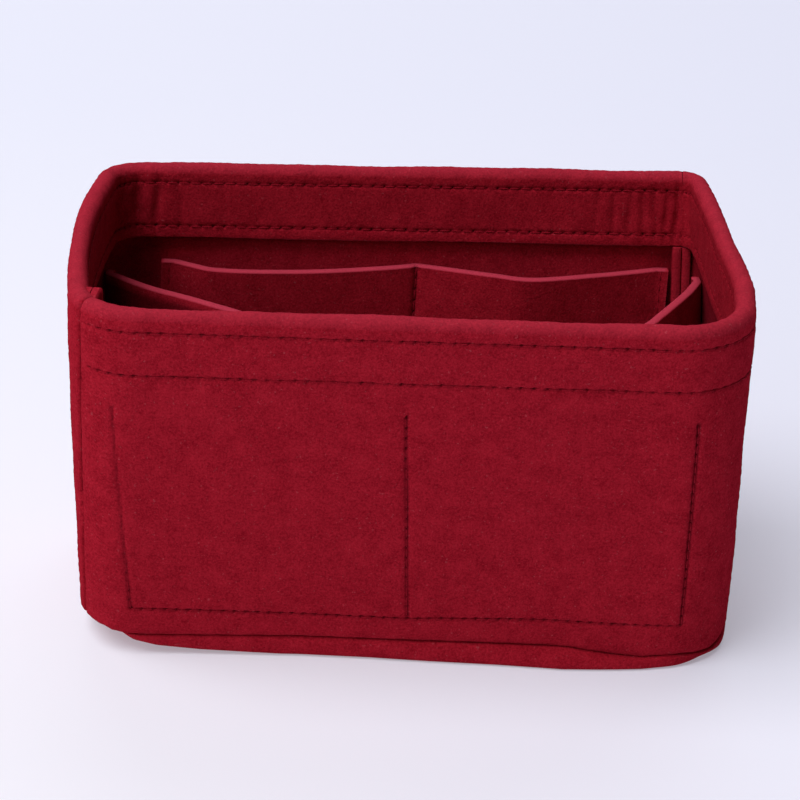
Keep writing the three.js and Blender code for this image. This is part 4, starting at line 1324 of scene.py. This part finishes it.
def make_floor():
    """A pale floor that is dimmer behind, with painted shade that dims it at the right, and that shines a
    little by itself.
    """
    look = bpy.context.scene.stage_look
    finish = Finish("pale_floor")
    spot = finish.spot()
    across, away = [finish.node("ShaderNodeSeparateXYZ", {}, {0: spot}, axis) for axis in (0, 1)]
    colour = finish.mix(away.between(-0.35, 0.55), look.near_colour, look.far_colour)
    # Painted shade: the floor dims towards the right, away from the lamp at the left.
    painted_dim_right = finish.mix(0.85, colour, look.right_painted_shade_colour)
    colour = finish.mix(across.between(-0.3, 0.35), colour, painted_dim_right)
    finish.surface({
        "Base Color": finish.mix(0.32, colour, (0, 0, 0)),
        "Emission Color": colour,
        "Emission Strength": look.floor_glow,
        "Roughness": 0.7,
        "Specular IOR Level": 0.2,
    })
    bm = bmesh.new()
    bmesh.ops.create_circle(bm, cap_ends=True, segments=96, radius=FLOOR_RADIUS)
    floor = finished("floor", bm, settled=False)
    floor.data.materials.append(finish.material)


def make_lights():
    """The room's even light, a soft sun above and one behind, and a wide near lamp at the left."""
    look = bpy.context.scene.stage_look
    world = bpy.data.worlds.new("room")
    world.use_nodes = True
    background = world.node_tree.nodes["Background"]
    background.inputs["Color"].default_value = ROOM_COLOUR
    background.inputs["Strength"].default_value = look.room_strength
    bpy.context.scene.world = world
    place_lamp("light_above", "SUN", look.top_strength, ABOVE).angle = look.top_softness
    place_lamp("light_behind", "SUN", look.back_strength, BEHIND).angle = SOFTNESS_BEHIND
    side = place_lamp("light_left", "AREA", look.side_strength, LEFT)
    side.shape, side.size = "DISK", look.side_width


def place_lamp(name, kind, strength, place):
    """A lamp at a place in metres that shines towards the origin."""
    lamp = bpy.data.lights.new(name, kind)
    lamp.energy = strength
    holder = placed(name, lamp)
    holder.location = place
    holder.rotation_euler = (-Vector(place)).to_track_quat("-Z", "Y").to_euler()
    return lamp


def make_camera():
    """The camera at the photograph's viewing angle."""
    down, right, roll = (math.radians(angle) for angle in CAMERA_TURNS)
    turn = Matrix.Rotation(-right, 4, "Z") @ Matrix.Rotation(math.pi / 2 - down, 4, "X")
    turn = turn @ Matrix.Rotation(roll, 4, "Z")
    lens = bpy.data.cameras.new("camera")
    lens.lens, lens.sensor_width = LENS, LENS_FRAME
    lens.clip_start, lens.clip_end = 0.05, 20.0
    camera = placed("camera", lens)
    camera.matrix_world = Matrix.Translation(CAMERA_PLACE) @ turn
    bpy.context.scene.camera = camera
    bpy.context.scene.view_settings.view_transform = "Standard"


class ORGANIZER_PT_panel(bpy.types.Panel):
    bl_label = "Felt Purse Organizer"
    bl_idname = "ORGANIZER_PT_panel"
    bl_space_type = "VIEW_3D"
    bl_region_type = "UI"
    bl_category = "Organizer"

    def draw(self, context):
        for maker in OPERATORS:
            self.layout.operator(maker.bl_idname)
        for look in (context.scene.felt_look, context.scene.stitch_look, context.scene.stage_look):
            box = self.layout.box()
            for key in look.__annotations__:
                box.prop(look, key)


OPERATORS = (
    ORGANIZER_OT_walls, ORGANIZER_OT_base, ORGANIZER_OT_pockets, ORGANIZER_OT_stitches,
    ORGANIZER_OT_stage,
)
CLASSES = (FeltLook, StitchLook, StageLook, *OPERATORS, ORGANIZER_PT_panel)


def register():
    for kind in CLASSES:
        bpy.utils.register_class(kind)
    bpy.types.Scene.felt_look = PointerProperty(type=FeltLook)
    bpy.types.Scene.stitch_look = PointerProperty(type=StitchLook)
    bpy.types.Scene.stage_look = PointerProperty(type=StageLook)


def unregister():
    for name in ("felt_look", "stitch_look", "stage_look"):
        delattr(bpy.types.Scene, name)
    for kind in reversed(CLASSES):
        bpy.utils.unregister_class(kind)


def main():
    register()
    for maker in OPERATORS:
        group, name = maker.bl_idname.split(".")
        getattr(getattr(bpy.ops, group), name)()


if __name__ == "__main__":
    main()
